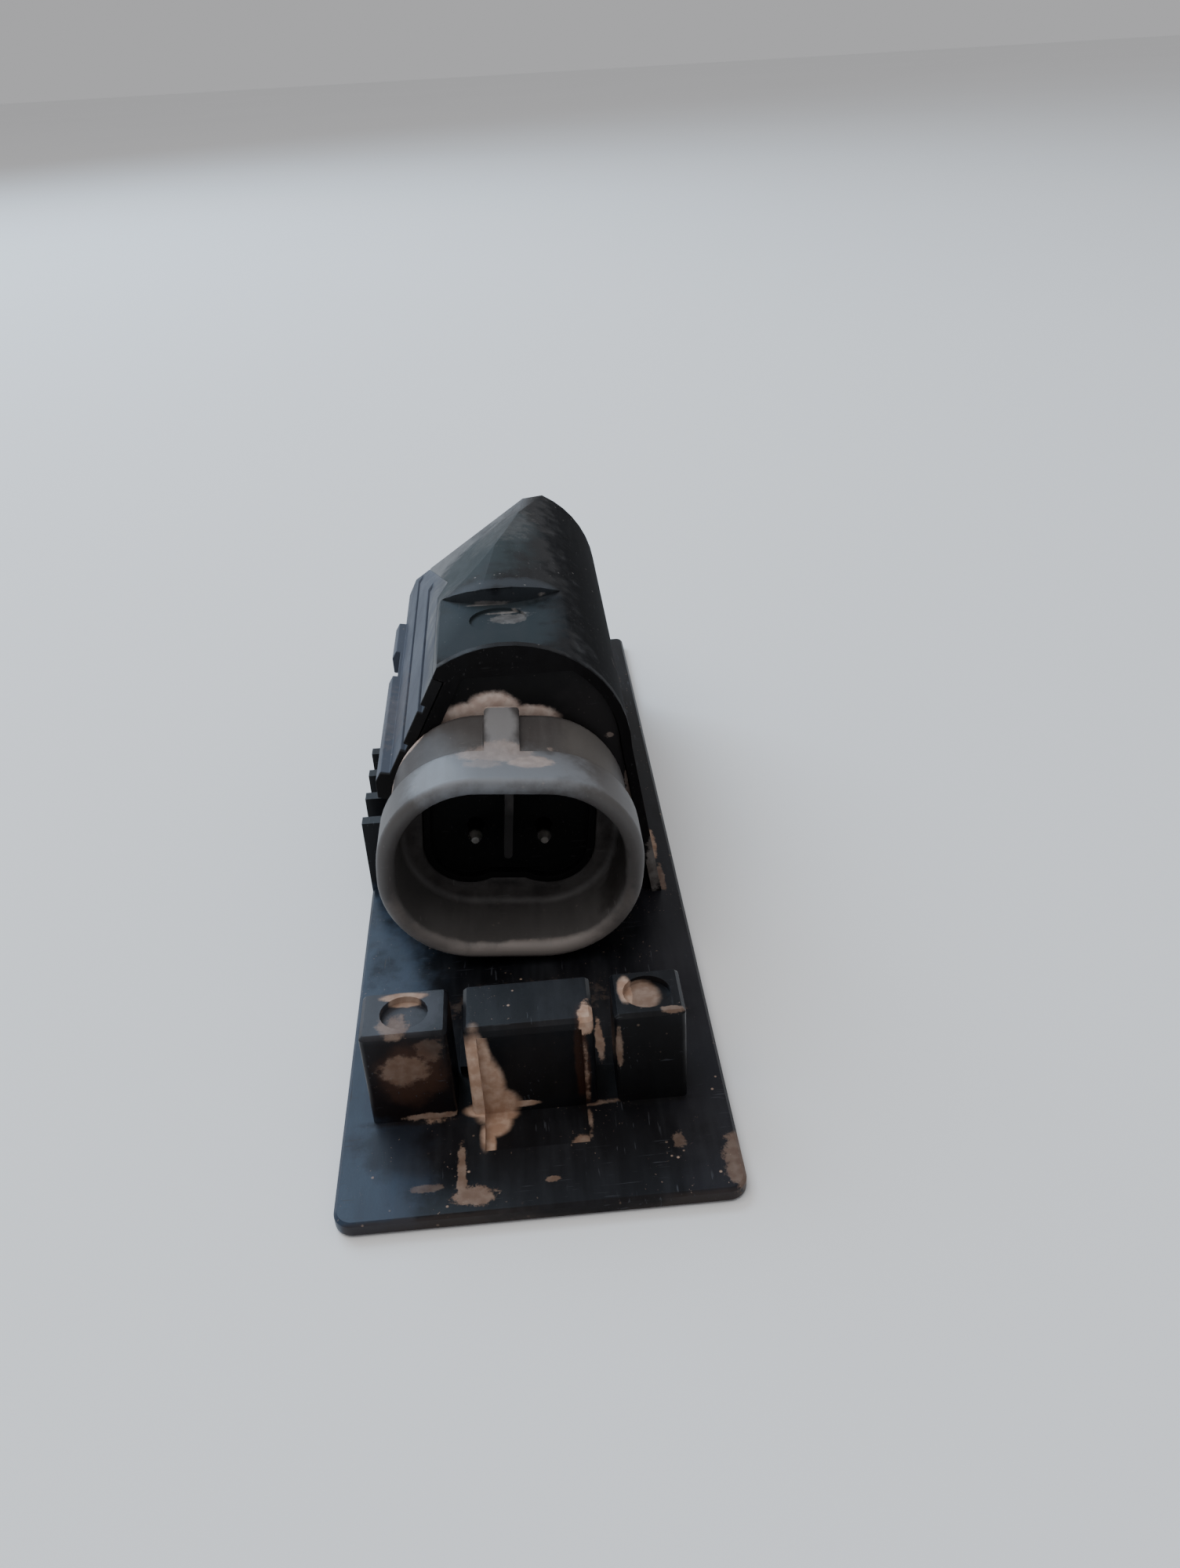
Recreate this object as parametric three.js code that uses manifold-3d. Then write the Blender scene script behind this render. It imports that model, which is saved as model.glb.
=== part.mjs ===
// Solenoid fuel injector lying along a moulded mounting plate. Millimetres, +Z up.
// The long axis runs along +Y from the plug end to the spray tip; the plate's underside lies at z = 0.
import * as THREE from "three";
import { mergeVertices, toCreasedNormals } from "three/addons/utils/BufferGeometryUtils.js";
import Module from "manifold-3d";

const wasm = await Module();
wasm.setup();

// ---------------------------------------------------------------- driving dimensions
const PLATE_WIDTH = 36;
const PLATE_LENGTH = 114.4;
const PLATE_THICKNESS = 1.6;
const PLATE_NEAR_CORNER_RADIUS = 1.8;
const PLATE_FAR_CORNER_RADIUS = 1.0;
const EDGE_CHAMFER = 0.3;

const TOWER_HEIGHT = 10.5;
const TOWER_DEPTH = 6.2;
const TOWER_FRONT = 11.4;
const LEFT_TOWER_X = [-15.2, -7.3];
const RIGHT_TOWER_X = [7.7, 14.2];
const POCKET_X = [-4.8, 4.7];
const POCKET_WALL = 1.1;
const POCKET_MOUTH = 6.9;
const POCKET_REAR = 12.3;
const POCKET_SINK = 0.9;
const TOWER_DIMPLE_RADIUS = 2.2;
const TOWER_DIMPLE_DEPTH = 0.7;

const FIN_COUNT = 4;
const FIN_FIRST = 49.1;
const FIN_PITCH = 5.4;
const FIN_HEIGHT = 9.2;
const FIN_THICKNESS = 1.5;

const ARCH_RADIUS = 13;
const ARCH_CENTRE_HEIGHT = 19.5;
const RIGHT_FOOT_X = 15.8;
const LEFT_FOOT_X = -15.6;
const LEFT_KNEE = [-13.6, 17.8];
const FACET_DISTANCE = 11.235;
const FACET_NORMAL = [-0.8844, 0.4666];
const HOUSING_FRONT = 44;
const HOUSING_REAR = 96;
const HOUSING_WALL = 1.5;
const CAVITY_CEILING = 29;
const COVER_THICKNESS = 1.2;
const COVER_GAP = 0.1;
const COVER_TOP_LAND = 1.2;
const BULKHEAD_FRONT = 44.7;
const BULKHEAD_THICKNESS = 1.8;

const PAD_HEIGHT = 30.5;
const PAD_FRONT = 45;
const PAD_REAR = 62.5;
const PAD_BULGE = 3.4;
const TAIL_FACET_POINT = [5, 94, 32];
const TAIL_FACET_NORMAL = [-0.667, 0.2, 1];
const CROWN_POINT = [4.8, 96, 30.75];
const CROWN_NORMAL = [-0.1, 0.16, 1];

const PLUG_AXIS_X = -0.9;
const PLUG_AXIS_HEIGHT = 12.2;
const PLUG_ROLL_DEG = 5.5;
const PLUG_BAND = { width: 27.6, height: 22.3, radius: 9.5, front: 32.4, rear: 38.6 };
const PLUG_BLOCK = { width: 25.6, height: 21, radius: 8.4, rear: 43.9 };
const PLUG_BLOCK_RISE = 2.3;
const PLUG_SPIGOT = { width: 18, height: 15, radius: 6, rear: 49.5 };
const PLUG_POCKET = { width: 23.8, height: 18.5, radius: 7.6, rear: 40.6 };
const CARRIER_LOBE = { width: 10.2, height: 14.2, radius: 5, offset: 4.3, rear: 42.7 };
const CARRIER_WAIST = 13;
const PIN_SPACING = 7.4;
const PIN_RADIUS = 0.75;
const PIN_TIP = 38.7;
const PIN_END = 55.4;

const AXIS_HEIGHT = 15.5;
const NEEDLE_LIFT = 0.3;
const SEGMENTS = 24;

// ---------------------------------------------------------------- colours
const BLACK_PLASTIC = { color: 0x14161a, roughness: 0.38, metalness: 0 };
const GREY_PLASTIC = { color: 0x6f7072, roughness: 0.55, metalness: 0 };
const DARK_INSERT = { color: 0x0c0c0e, roughness: 0.6, metalness: 0 };
const NATURAL_PLASTIC = { color: 0x2a2420, roughness: 0.5, metalness: 0 };
const TINNED_BRASS = { color: 0xb9b4a4, roughness: 0.3, metalness: 1 };
const ZINC_STEEL = { color: 0x8e9196, roughness: 0.35, metalness: 1 };
const POLISHED_STEEL = { color: 0xb8babd, roughness: 0.2, metalness: 1 };
const COPPER = { color: 0x9c4a22, roughness: 0.35, metalness: 1 };
const RUBBER = { color: 0x1b1b1b, roughness: 0.8, metalness: 0 };
const FILTER_MESH = { color: 0x9a8f6a, roughness: 0.7, metalness: 0 };

// ---------------------------------------------------------------- shared helpers
/** Station on the long axis, counted from the plate's near edge. */
const at = (distance) => distance - PLATE_LENGTH / 2;
/** Height above the plate's top face. */
const above = (height) => height + PLATE_THICKNESS;

/** Turns a closed three.js geometry into a solid, facing outward. */
function solid(geometry) {
  const bare = new THREE.BufferGeometry();
  bare.setAttribute("position", geometry.getAttribute("position").clone());
  if (geometry.index) {
    bare.setIndex(geometry.index.clone());
  }
  const merged = mergeVertices(bare, 1e-4);
  const source = merged.index.array;
  const points = merged.getAttribute("position").array;
  const kept = [];
  let volume = 0;
  for (let i = 0; i < source.length; i += 3) {
    const [a, b, c] = [source[i], source[i + 1], source[i + 2]];
    if (a !== b && b !== c && c !== a) {
      kept.push(a, b, c);
      const [p, q, r] = [a, b, c].map((k) => new THREE.Vector3().fromArray(points, 3 * k));
      volume += p.dot(q.cross(r));
    }
  }
  if (volume < 0) {
    kept.reverse();
  }
  const mesh = new wasm.Mesh({ numProp: 3, vertProperties: new Float32Array(points), triVerts: new Uint32Array(kept) });
  mesh.merge();
  return new wasm.Manifold(mesh);
}

/** Named mesh of a solid with its own material. */
function part(name, body, finish) {
  const mesh = body.getMesh();
  const geometry = new THREE.BufferGeometry();
  geometry.setAttribute("position", new THREE.BufferAttribute(new Float32Array(mesh.vertProperties), 3));
  geometry.setIndex(new THREE.BufferAttribute(new Uint32Array(mesh.triVerts), 1));
  const material = new THREE.MeshStandardMaterial(finish);
  const node = new THREE.Mesh(toCreasedNormals(geometry, 0.6), material);
  node.name = name;
  return node;
}

/** Prism of a shape drawn across the object (x, z), running along +Y between two stations. */
function prismAlong(shape, front, rear, bevel = 0) {
  const geometry = new THREE.ExtrudeGeometry(shape, {
    depth: rear - front - 2 * bevel,
    bevelEnabled: bevel > 0,
    bevelSize: bevel,
    bevelThickness: bevel,
    bevelOffset: -bevel,
    bevelSegments: 2,
    curveSegments: 6,
  });
  geometry.rotateX(Math.PI / 2);
  geometry.translate(0, at(rear) - bevel, 0);
  return solid(geometry);
}

/** Prism of a shape drawn in plan (x, y), running up between two heights. */
function prismUp(shape, low, high, bevel = 0) {
  const geometry = new THREE.ExtrudeGeometry(shape, {
    depth: high - low - 2 * bevel,
    bevelEnabled: bevel > 0,
    bevelSize: bevel,
    bevelThickness: bevel,
    bevelOffset: -bevel,
    bevelSegments: 1,
    curveSegments: 6,
  });
  geometry.translate(0, 0, low + bevel);
  return solid(geometry);
}

/** Axis-aligned block between two corners, in final coordinates. */
function block([x0, y0, z0], [x1, y1, z1]) {
  const geometry = new THREE.BoxGeometry(x1 - x0, y1 - y0, z1 - z0);
  geometry.translate((x0 + x1) / 2, (y0 + y1) / 2, (z0 + z1) / 2);
  return solid(geometry);
}

/** Upright round bar. */
function postUp(radius, x, y, low, high, segments = 24) {
  const geometry = new THREE.CylinderGeometry(radius, radius, high - low, segments);
  geometry.rotateX(Math.PI / 2);
  geometry.translate(x, y, (low + high) / 2);
  return solid(geometry);
}

/** Round bar along the long axis at a given x and height. */
function barAlong(radius, x, z, front, rear, segments = 20) {
  const geometry = new THREE.CylinderGeometry(radius, radius, rear - front, segments);
  geometry.translate(x, (at(front) + at(rear)) / 2, z);
  return solid(geometry);
}

/** Turned body on the injector's axis; the profile is a list of [radius, station]. */
function turned(profile, segments = SEGMENTS) {
  const onAxis = profile[0][0] === 0;
  const points = profile.map(([radius, station]) => new THREE.Vector2(radius, at(station)));
  if (!onAxis) {
    points.push(points[0].clone());
  }
  const geometry = new THREE.LatheGeometry(points, segments);
  geometry.translate(0, 0, above(AXIS_HEIGHT));
  return solid(geometry);
}

/** Rounded ring of round section, turned on the injector's axis. */
function sealRing(meanRadius, sectionRadius, station) {
  const profile = [];
  for (let i = 0; i < 8; i += 1) {
    const angle = (2 * Math.PI * i) / 8;
    profile.push([meanRadius + sectionRadius * Math.cos(angle), station + sectionRadius * Math.sin(angle)]);
  }
  return turned(profile);
}

/** Rectangle with rounded corners, centred on a point. */
function roundedRectangle(width, height, radius, cx = 0, cy = 0) {
  const [x0, x1, y0, y1] = [cx - width / 2, cx + width / 2, cy - height / 2, cy + height / 2];
  const shape = new THREE.Shape();
  shape.moveTo(x0 + radius, y0);
  shape.lineTo(x1 - radius, y0);
  shape.absarc(x1 - radius, y0 + radius, radius, -Math.PI / 2, 0, false);
  shape.lineTo(x1, y1 - radius);
  shape.absarc(x1 - radius, y1 - radius, radius, 0, Math.PI / 2, false);
  shape.lineTo(x0 + radius, y1);
  shape.absarc(x0 + radius, y1 - radius, radius, Math.PI / 2, Math.PI, false);
  shape.lineTo(x0, y0 + radius);
  shape.absarc(x0 + radius, y0 + radius, radius, Math.PI, 1.5 * Math.PI, false);
  return shape;
}

/** Closed shape from a list of corner points. */
function polygon(points) {
  return new THREE.Shape(points.map(([x, y]) => new THREE.Vector2(x, y)));
}

/** Everything above a sloping plane through a point (x, station, height above the plate). */
function aboveSlope([x, station, height], normal, inset) {
  const direction = new THREE.Vector3(...normal).normalize();
  const geometry = new THREE.BoxGeometry(300, 300, 80);
  geometry.applyQuaternion(new THREE.Quaternion().setFromUnitVectors(new THREE.Vector3(0, 0, 1), direction));
  const centre = new THREE.Vector3(x, at(station), above(height)).addScaledVector(direction, 40 - inset);
  geometry.translate(centre.x, centre.y, centre.z);
  return solid(geometry);
}

// ---------------------------------------------------------------- housing section
/** Point where two lines given as normal and distance meet. */
function meet([nx, nz], d, [mx, mz], e) {
  const det = nx * mz - nz * mx;
  return [(d * mz - e * nz) / det, (nx * e - mx * d) / det];
}

/** Left-hand lines of the section: the leaning facet and the lower wall, moved inward by an inset. */
function leftLines(inset) {
  const facet = FACET_NORMAL[1] * ARCH_CENTRE_HEIGHT + FACET_DISTANCE - inset;
  const run = [LEFT_KNEE[0] - LEFT_FOOT_X, LEFT_KNEE[1]];
  const length = Math.hypot(...run);
  const wallNormal = [-run[1] / length, run[0] / length];
  const wall = wallNormal[0] * LEFT_FOOT_X - inset;
  return { facet, wallNormal, wall };
}

/** Angle on the arch at which the leaning facet begins. */
function ridgeAngle(radius, leftInset) {
  const reach = Math.acos((FACET_DISTANCE - leftInset) / radius);
  return Math.atan2(FACET_NORMAL[1], FACET_NORMAL[0]) - reach;
}

/** Ridge between the round top and the leaning facet, as (x, height above the plate). */
function ridge() {
  const angle = ridgeAngle(ARCH_RADIUS, 0);
  return [ARCH_RADIUS * Math.cos(angle), ARCH_CENTRE_HEIGHT + ARCH_RADIUS * Math.sin(angle)];
}

/** Arch outline with its right side and its left side moved inward by their own insets. */
function archOutline(rightInset, leftInset, bottom) {
  const radius = ARCH_RADIUS - rightInset;
  const { facet, wallNormal, wall } = leftLines(leftInset);
  const sweep = ridgeAngle(radius, leftInset);
  const foot = RIGHT_FOOT_X - rightInset;
  const points = [[foot + ((radius - foot) * bottom) / ARCH_CENTRE_HEIGHT, bottom]];
  for (let i = 0; i <= 16; i += 1) {
    const angle = (sweep * i) / 16;
    points.push([radius * Math.cos(angle), ARCH_CENTRE_HEIGHT + radius * Math.sin(angle)]);
  }
  points.push(meet(FACET_NORMAL, facet, wallNormal, wall));
  points.push(meet(wallNormal, wall, [0, 1], bottom));
  return points.map(([x, z]) => [x, above(z)]);
}

/** Sloping facet planed off the tail, kept parallel to the wall by an inset. */
const tailSlope = (inset) => aboveSlope(TAIL_FACET_POINT, TAIL_FACET_NORMAL, inset);
const crownSlope = () => aboveSlope(CROWN_POINT, CROWN_NORMAL, 0);

/** Band lying on the left side between two insets, from below the ridge down to the plate. */
function leftBand(outerInset, innerInset, topLand, foot) {
  const along = [FACET_NORMAL[1], -FACET_NORMAL[0]];
  const [ridgeX, ridgeHeight] = ridge();
  const top = [ridgeX - along[0] * topLand, ridgeHeight - along[1] * topLand];
  const outer = leftLines(outerInset);
  const inner = leftLines(innerInset);
  const topDistance = along[0] * top[0] + along[1] * top[1];
  const points = [
    meet(FACET_NORMAL, outer.facet, along, topDistance),
    meet(FACET_NORMAL, outer.facet, outer.wallNormal, outer.wall),
    meet(outer.wallNormal, outer.wall, [0, 1], foot),
    meet(inner.wallNormal, inner.wall, [0, 1], foot),
    meet(FACET_NORMAL, inner.facet, inner.wallNormal, inner.wall),
    meet(FACET_NORMAL, inner.facet, along, topDistance),
  ];
  return polygon(points.map(([x, z]) => [x, above(z)]));
}

// ---------------------------------------------------------------- mounting plate
/** Thin base with rounded corners, tighter at the far end. */
function plateBlank() {
  const near = PLATE_NEAR_CORNER_RADIUS;
  const far = PLATE_FAR_CORNER_RADIUS;
  const half = PLATE_WIDTH / 2;
  const shape = new THREE.Shape();
  shape.moveTo(-half + near, at(0));
  shape.lineTo(half - near, at(0));
  shape.absarc(half - near, at(near), near, -Math.PI / 2, 0, false);
  shape.lineTo(half, at(PLATE_LENGTH - far));
  shape.absarc(half - far, at(PLATE_LENGTH - far), far, 0, Math.PI / 2, false);
  shape.lineTo(-half + far, at(PLATE_LENGTH));
  shape.absarc(-half + far, at(PLATE_LENGTH - far), far, Math.PI / 2, Math.PI, false);
  shape.lineTo(-half, at(near));
  shape.absarc(-half + near, at(near), near, Math.PI, 1.5 * Math.PI, false);
  return prismUp(shape, 0, PLATE_THICKNESS, EDGE_CHAMFER);
}

/** Square tower with softened edges. */
function tower([x0, x1]) {
  const centre = [(x0 + x1) / 2, at(TOWER_FRONT + TOWER_DEPTH / 2)];
  const shape = roundedRectangle(x1 - x0, TOWER_DEPTH, 0.5, ...centre);
  return prismUp(shape, above(-0.8), above(TOWER_HEIGHT), 0.35);
}

/** Shallow round dimple in a tower's top face. */
function dimple([x0, x1]) {
  const y = at(TOWER_FRONT + TOWER_DEPTH / 2);
  return postUp(TOWER_DIMPLE_RADIUS, (x0 + x1) / 2, y, above(TOWER_HEIGHT - TOWER_DIMPLE_DEPTH), above(TOWER_HEIGHT + 1));
}

/** Upright fin between the plate's left edge and the housing's left wall. */
function fin(station) {
  const lean = ((LEFT_KNEE[0] - LEFT_FOOT_X) * FIN_HEIGHT) / LEFT_KNEE[1];
  const inner = LEFT_FOOT_X - 0.15;
  const shape = polygon([
    [-PLATE_WIDTH / 2, above(-0.8)],
    [inner, above(-0.8)],
    [inner, above(0)],
    [inner + lean, above(FIN_HEIGHT)],
    [-PLATE_WIDTH / 2, above(FIN_HEIGHT)],
  ]);
  return prismAlong(shape, station, station + FIN_THICKNESS);
}

/** Cross rib that cradles the solenoid can. */
function saddle(station) {
  const rib = block([-9, at(station), above(-0.8)], [9, at(station + 2), above(10)]);
  return rib.subtract(barAlong(9.1, 0, above(AXIS_HEIGHT), station - 1, station + 3, 36));
}

function mountingPlate() {
  const pocketTower = [POCKET_X[0] - POCKET_WALL, POCKET_X[1] + POCKET_WALL];
  let body = plateBlank().add(tower(LEFT_TOWER_X)).add(tower(RIGHT_TOWER_X)).add(tower(pocketTower));
  for (let i = 0; i < FIN_COUNT; i += 1) {
    body = body.add(fin(FIN_FIRST + i * FIN_PITCH));
  }
  body = body.add(saddle(57)).add(saddle(69));
  body = body.add(block([-7.1, at(17), above(-0.8)], [-6.2, at(26), above(0.9)]));
  body = body.subtract(dimple(LEFT_TOWER_X)).subtract(dimple(RIGHT_TOWER_X));
  body = body.subtract(
    block(
      [POCKET_X[0], at(POCKET_MOUTH), above(-POCKET_SINK)],
      [POCKET_X[1], at(POCKET_REAR), above(TOWER_HEIGHT - POCKET_WALL)],
    ),
  );
  body = body.subtract(postUp(1.6, 0, at(84), -1, above(1)));
  const groove = postUp(4.75, 0, at(84), -1, 0.95, 32).subtract(postUp(3.45, 0, at(84), -2, 2, 32));
  return part("mounting_plate", body.subtract(groove), BLACK_PLASTIC);
}

// ---------------------------------------------------------------- housing and covers
/** Space inside the arch; extra shrinks it for pieces that fit inside. */
function cavity(front, rear, extra) {
  const right = HOUSING_WALL + extra;
  const left = HOUSING_WALL + COVER_THICKNESS + COVER_GAP + extra;
  const space = prismAlong(polygon(archOutline(right, left, -3)), front, rear);
  const lid = block([-30, at(0), above(CAVITY_CEILING - extra)], [30, at(120), above(60)]);
  return space.subtract(lid).subtract(tailSlope(HOUSING_WALL + extra));
}

/** Tool that sinks the flat pad behind the front rim; its rear wall bulges toward the plug. */
function padCutter() {
  const half = 8.5;
  const shape = new THREE.Shape();
  shape.moveTo(-half, at(PAD_FRONT));
  shape.lineTo(half, at(PAD_FRONT));
  shape.lineTo(half, at(PAD_REAR + 1));
  shape.quadraticCurveTo(0, at(PAD_REAR - 1 - 2 * PAD_BULGE + 1), -half, at(PAD_REAR + 1));
  shape.lineTo(-half, at(PAD_FRONT));
  return prismUp(shape, above(PAD_HEIGHT), above(40));
}

function bodyHousing() {
  let body = prismAlong(polygon(archOutline(0, 0, 0)), HOUSING_FRONT, HOUSING_REAR);
  body = body.subtract(prismAlong(leftBand(-3, COVER_THICKNESS + COVER_GAP, COVER_TOP_LAND, -1), 43, 97));
  body = body.subtract(tailSlope(0)).subtract(crownSlope()).subtract(padCutter());
  body = body.subtract(cavity(43, 97, 0));
  const rebate = archOutline(HOUSING_WALL - 0.4, HOUSING_WALL + COVER_THICKNESS + COVER_GAP, -3);
  const seat = prismAlong(polygon(rebate), 43, BULKHEAD_FRONT + BULKHEAD_THICKNESS + 0.1);
  body = body.subtract(seat.subtract(block([-30, at(40), above(CAVITY_CEILING + 0.1)], [30, at(50), above(40)])));
  const mark = postUp(3.2, -0.4, at(55.5), above(PAD_HEIGHT - 0.35), above(PAD_HEIGHT + 1), 28);
  return part("body_housing", body.subtract(mark), BLACK_PLASTIC);
}

/** Long groove pressed into the cover's leaning face, a given way down from the ridge. */
function coverGroove(down, width) {
  const along = [FACET_NORMAL[1], -FACET_NORMAL[0]];
  const [ridgeX, ridgeHeight] = ridge();
  const corner = (way, depth) => [
    ridgeX - along[0] * way - FACET_NORMAL[0] * depth,
    above(ridgeHeight - along[1] * way - FACET_NORMAL[1] * depth),
  ];
  const shape = polygon([
    corner(down, -1),
    corner(down, 0.55),
    corner(down + width, 0.55),
    corner(down + width, -1),
  ]);
  return prismAlong(shape, 40, 100);
}

function sideCover() {
  let body = prismAlong(leftBand(0, COVER_THICKNESS, COVER_TOP_LAND + COVER_GAP, 0.1), HOUSING_FRONT, 95.6);
  const bead = polygon([
    [-13.2, above(18.4)],
    [-14.3, above(18.6)],
    [-14.9, above(17.6)],
    [-14.9, above(15.6)],
    [-13.4, above(15.2)],
  ]);
  body = body.add(prismAlong(bead, HOUSING_FRONT, 84));
  body = body.subtract(coverGroove(4.6, 0.9)).subtract(coverGroove(9.6, 0.9));
  body = body.subtract(block([-17, at(68), above(14.6)], [-13.75, at(75), above(20)]));
  body = body.subtract(tailSlope(0));
  return part("side_cover", body, BLACK_PLASTIC);
}

/** Solid that runs from one convex outline at station front to another at station rear. */
function taperAlong(frontOutline, front, rearOutline, rear) {
  const slices = [prismAlong(frontOutline, front, front + 0.05), prismAlong(rearOutline, rear - 0.05, rear)];
  return wasm.Manifold.hull(slices);
}

/** Rolled tool at the plug's axis. */
function rolled(body) {
  const roll = new THREE.Matrix4().makeRotationY(THREE.MathUtils.degToRad(PLUG_ROLL_DEG));
  roll.setPosition(PLUG_AXIS_X, 0, above(PLUG_AXIS_HEIGHT));
  return body.transform(roll.elements);
}

function frontBulkhead() {
  const right = HOUSING_WALL - 0.4 + 0.1;
  const left = HOUSING_WALL + COVER_THICKNESS + COVER_GAP + 0.1;
  const outline = polygon(archOutline(right, left, 0.05));
  const hole = roundedRectangle(PLUG_SPIGOT.width + 0.6, PLUG_SPIGOT.height + 0.6, PLUG_SPIGOT.radius + 0.3);
  const lid = block([-30, at(40), above(CAVITY_CEILING)], [30, at(50), above(40)]);
  const body = prismAlong(outline, BULKHEAD_FRONT, BULKHEAD_FRONT + BULKHEAD_THICKNESS).subtract(lid);
  return part("front_bulkhead", body.subtract(rolled(prismAlong(hole, 43, 48))), BLACK_PLASTIC);
}

function rearBulkhead() {
  const floor = block([-30, at(80), -5], [30, at(100), above(0.05)]);
  const body = cavity(88.9, 90.7, 0.1).subtract(floor);
  return part("rear_bulkhead", body.subtract(barAlong(4.75, 0, above(AXIS_HEIGHT), 88, 92, 32)), BLACK_PLASTIC);
}

// ---------------------------------------------------------------- plug socket
function connectorShroud() {
  const band = roundedRectangle(PLUG_BAND.width, PLUG_BAND.height, PLUG_BAND.radius);
  const { width, height, radius } = PLUG_BLOCK;
  const blockFront = roundedRectangle(width, height, radius);
  const blockRear = roundedRectangle(width, height + PLUG_BLOCK_RISE, radius, 0, PLUG_BLOCK_RISE / 2);
  const spigot = roundedRectangle(PLUG_SPIGOT.width, PLUG_SPIGOT.height, PLUG_SPIGOT.radius);
  const pocket = roundedRectangle(PLUG_POCKET.width, PLUG_POCKET.height, PLUG_POCKET.radius);
  const keyFront = roundedRectangle(3.7, 2, 0.4, -1, height / 2 - 0.3);
  const keyRear = roundedRectangle(3.7, 2, 0.4, -1, height / 2 + PLUG_BLOCK_RISE - 0.5);
  let body = prismAlong(band, PLUG_BAND.front, PLUG_BAND.rear, 0.6);
  body = body.add(taperAlong(blockFront, PLUG_BAND.rear - 2, blockRear, PLUG_BLOCK.rear));
  body = body.add(prismAlong(spigot, PLUG_BLOCK.rear - 2, PLUG_SPIGOT.rear));
  body = body.add(taperAlong(keyFront, PLUG_BAND.rear - 2, keyRear, PLUG_BLOCK.rear - 0.1));
  body = body.subtract(prismAlong(pocket, 30, PLUG_POCKET.rear));
  for (const side of [-1, 1]) {
    const x = side * CARRIER_LOBE.offset;
    const lobe = roundedRectangle(CARRIER_LOBE.width, CARRIER_LOBE.height, CARRIER_LOBE.radius, x, 0);
    body = body.subtract(prismAlong(lobe, PLUG_POCKET.rear - 1, CARRIER_LOBE.rear));
  }
  const waist = roundedRectangle(2 * CARRIER_LOBE.offset, CARRIER_WAIST, 0.3);
  body = body.subtract(prismAlong(waist, PLUG_POCKET.rear - 1, CARRIER_LOBE.rear));
  body = body.subtract(prismAlong(roundedRectangle(14, 9, 3), CARRIER_LOBE.rear - 1, PLUG_SPIGOT.rear + 1));
  const rib = roundedRectangle(0.9, 11.4, 0.4, -0.2, 3.9);
  body = body.add(prismAlong(rib, 37.6, PLUG_POCKET.rear + 0.9));
  return part("connector_shroud", body, GREY_PLASTIC);
}

/** Black two-lobed cup with a tongue behind it that holds both pins. */
function pinCarrier() {
  const gap = 0.15;
  let body = prismAlong(roundedRectangle(14 - 2 * gap, 9 - 2 * gap, 3 - gap), 42, PLUG_SPIGOT.rear);
  let hollow;
  for (const side of [-1, 1]) {
    const x = side * CARRIER_LOBE.offset;
    const { width, height, radius } = CARRIER_LOBE;
    const outer = roundedRectangle(width - 2 * gap, height - 2 * gap, radius - gap, x, 0);
    const inner = roundedRectangle(width - 2 * gap - 1.4, height - 2 * gap - 1.4, radius - gap - 0.7, x, 0);
    body = body.add(prismAlong(outer, PLUG_POCKET.rear + 0.2, CARRIER_LOBE.rear - gap));
    const tool = prismAlong(inner, PLUG_POCKET.rear - 1, 41.9);
    hollow = hollow ? hollow.add(tool) : tool;
  }
  const waist = roundedRectangle(2 * CARRIER_LOBE.offset, CARRIER_WAIST - 2 * gap, 0.3);
  const waistHollow = roundedRectangle(2 * CARRIER_LOBE.offset, CARRIER_WAIST - 2 * gap - 1.4, 0.3);
  body = body.add(prismAlong(waist, PLUG_POCKET.rear + 0.2, CARRIER_LOBE.rear - gap));
  body = body.subtract(hollow.add(prismAlong(waistHollow, PLUG_POCKET.rear - 1, 41.9)));
  body = body.subtract(prismAlong(roundedRectangle(1.6, 12, 0.5, -0.2, 4), 40, 41.8));
  for (const side of [-1, 1]) {
    body = body.subtract(barAlong(PIN_RADIUS + 0.15, (side * PIN_SPACING) / 2, 0, 40, 60));
  }
  return part("pin_carrier", body, DARK_INSERT);
}

function terminal(name, side) {
  const profile = [
    [0, PIN_TIP],
    [0.4, PIN_TIP],
    [PIN_RADIUS, PIN_TIP + 0.8],
    [PIN_RADIUS, PIN_END - 0.3],
    [PIN_RADIUS - 0.2, PIN_END],
    [0, PIN_END],
  ];
  const points = profile.map(([radius, station]) => new THREE.Vector2(radius, at(station)));
  const geometry = new THREE.LatheGeometry(points, 16);
  geometry.translate((side * PIN_SPACING) / 2, 0, 0);
  return part(name, solid(geometry), TINNED_BRASS);
}

/** Both pins as tools with clearance, already rolled, for the pieces that they pass through. */
function pinClearance(extra, front, rear) {
  const left = barAlong(PIN_RADIUS + extra, -PIN_SPACING / 2, 0, front, rear);
  return rolled(left.add(barAlong(PIN_RADIUS + extra, PIN_SPACING / 2, 0, front, rear)));
}

function plugEnd() {
  const group = new THREE.Group();
  group.name = "plug_end";
  group.position.set(PLUG_AXIS_X, 0, above(PLUG_AXIS_HEIGHT));
  group.rotation.y = THREE.MathUtils.degToRad(PLUG_ROLL_DEG);
  group.add(connectorShroud(), pinCarrier(), terminal("terminal_left", -1), terminal("terminal_right", 1));
  return group;
}

// ---------------------------------------------------------------- solenoid
function solenoidCan() {
  const body = turned([[8.1, 53], [9, 53], [9, 75.6], [5.2, 75.6], [5.2, 74.4], [8.1, 74.4]], 36);
  return part("solenoid_can", body, ZINC_STEEL);
}

function yokeWasher() {
  const body = turned([[3, 53.1], [8, 53.1], [8, 54.2], [3, 54.2]], 36);
  return part("yoke_washer", body.subtract(pinClearance(0.5, 52, 56)), ZINC_STEEL);
}

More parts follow.
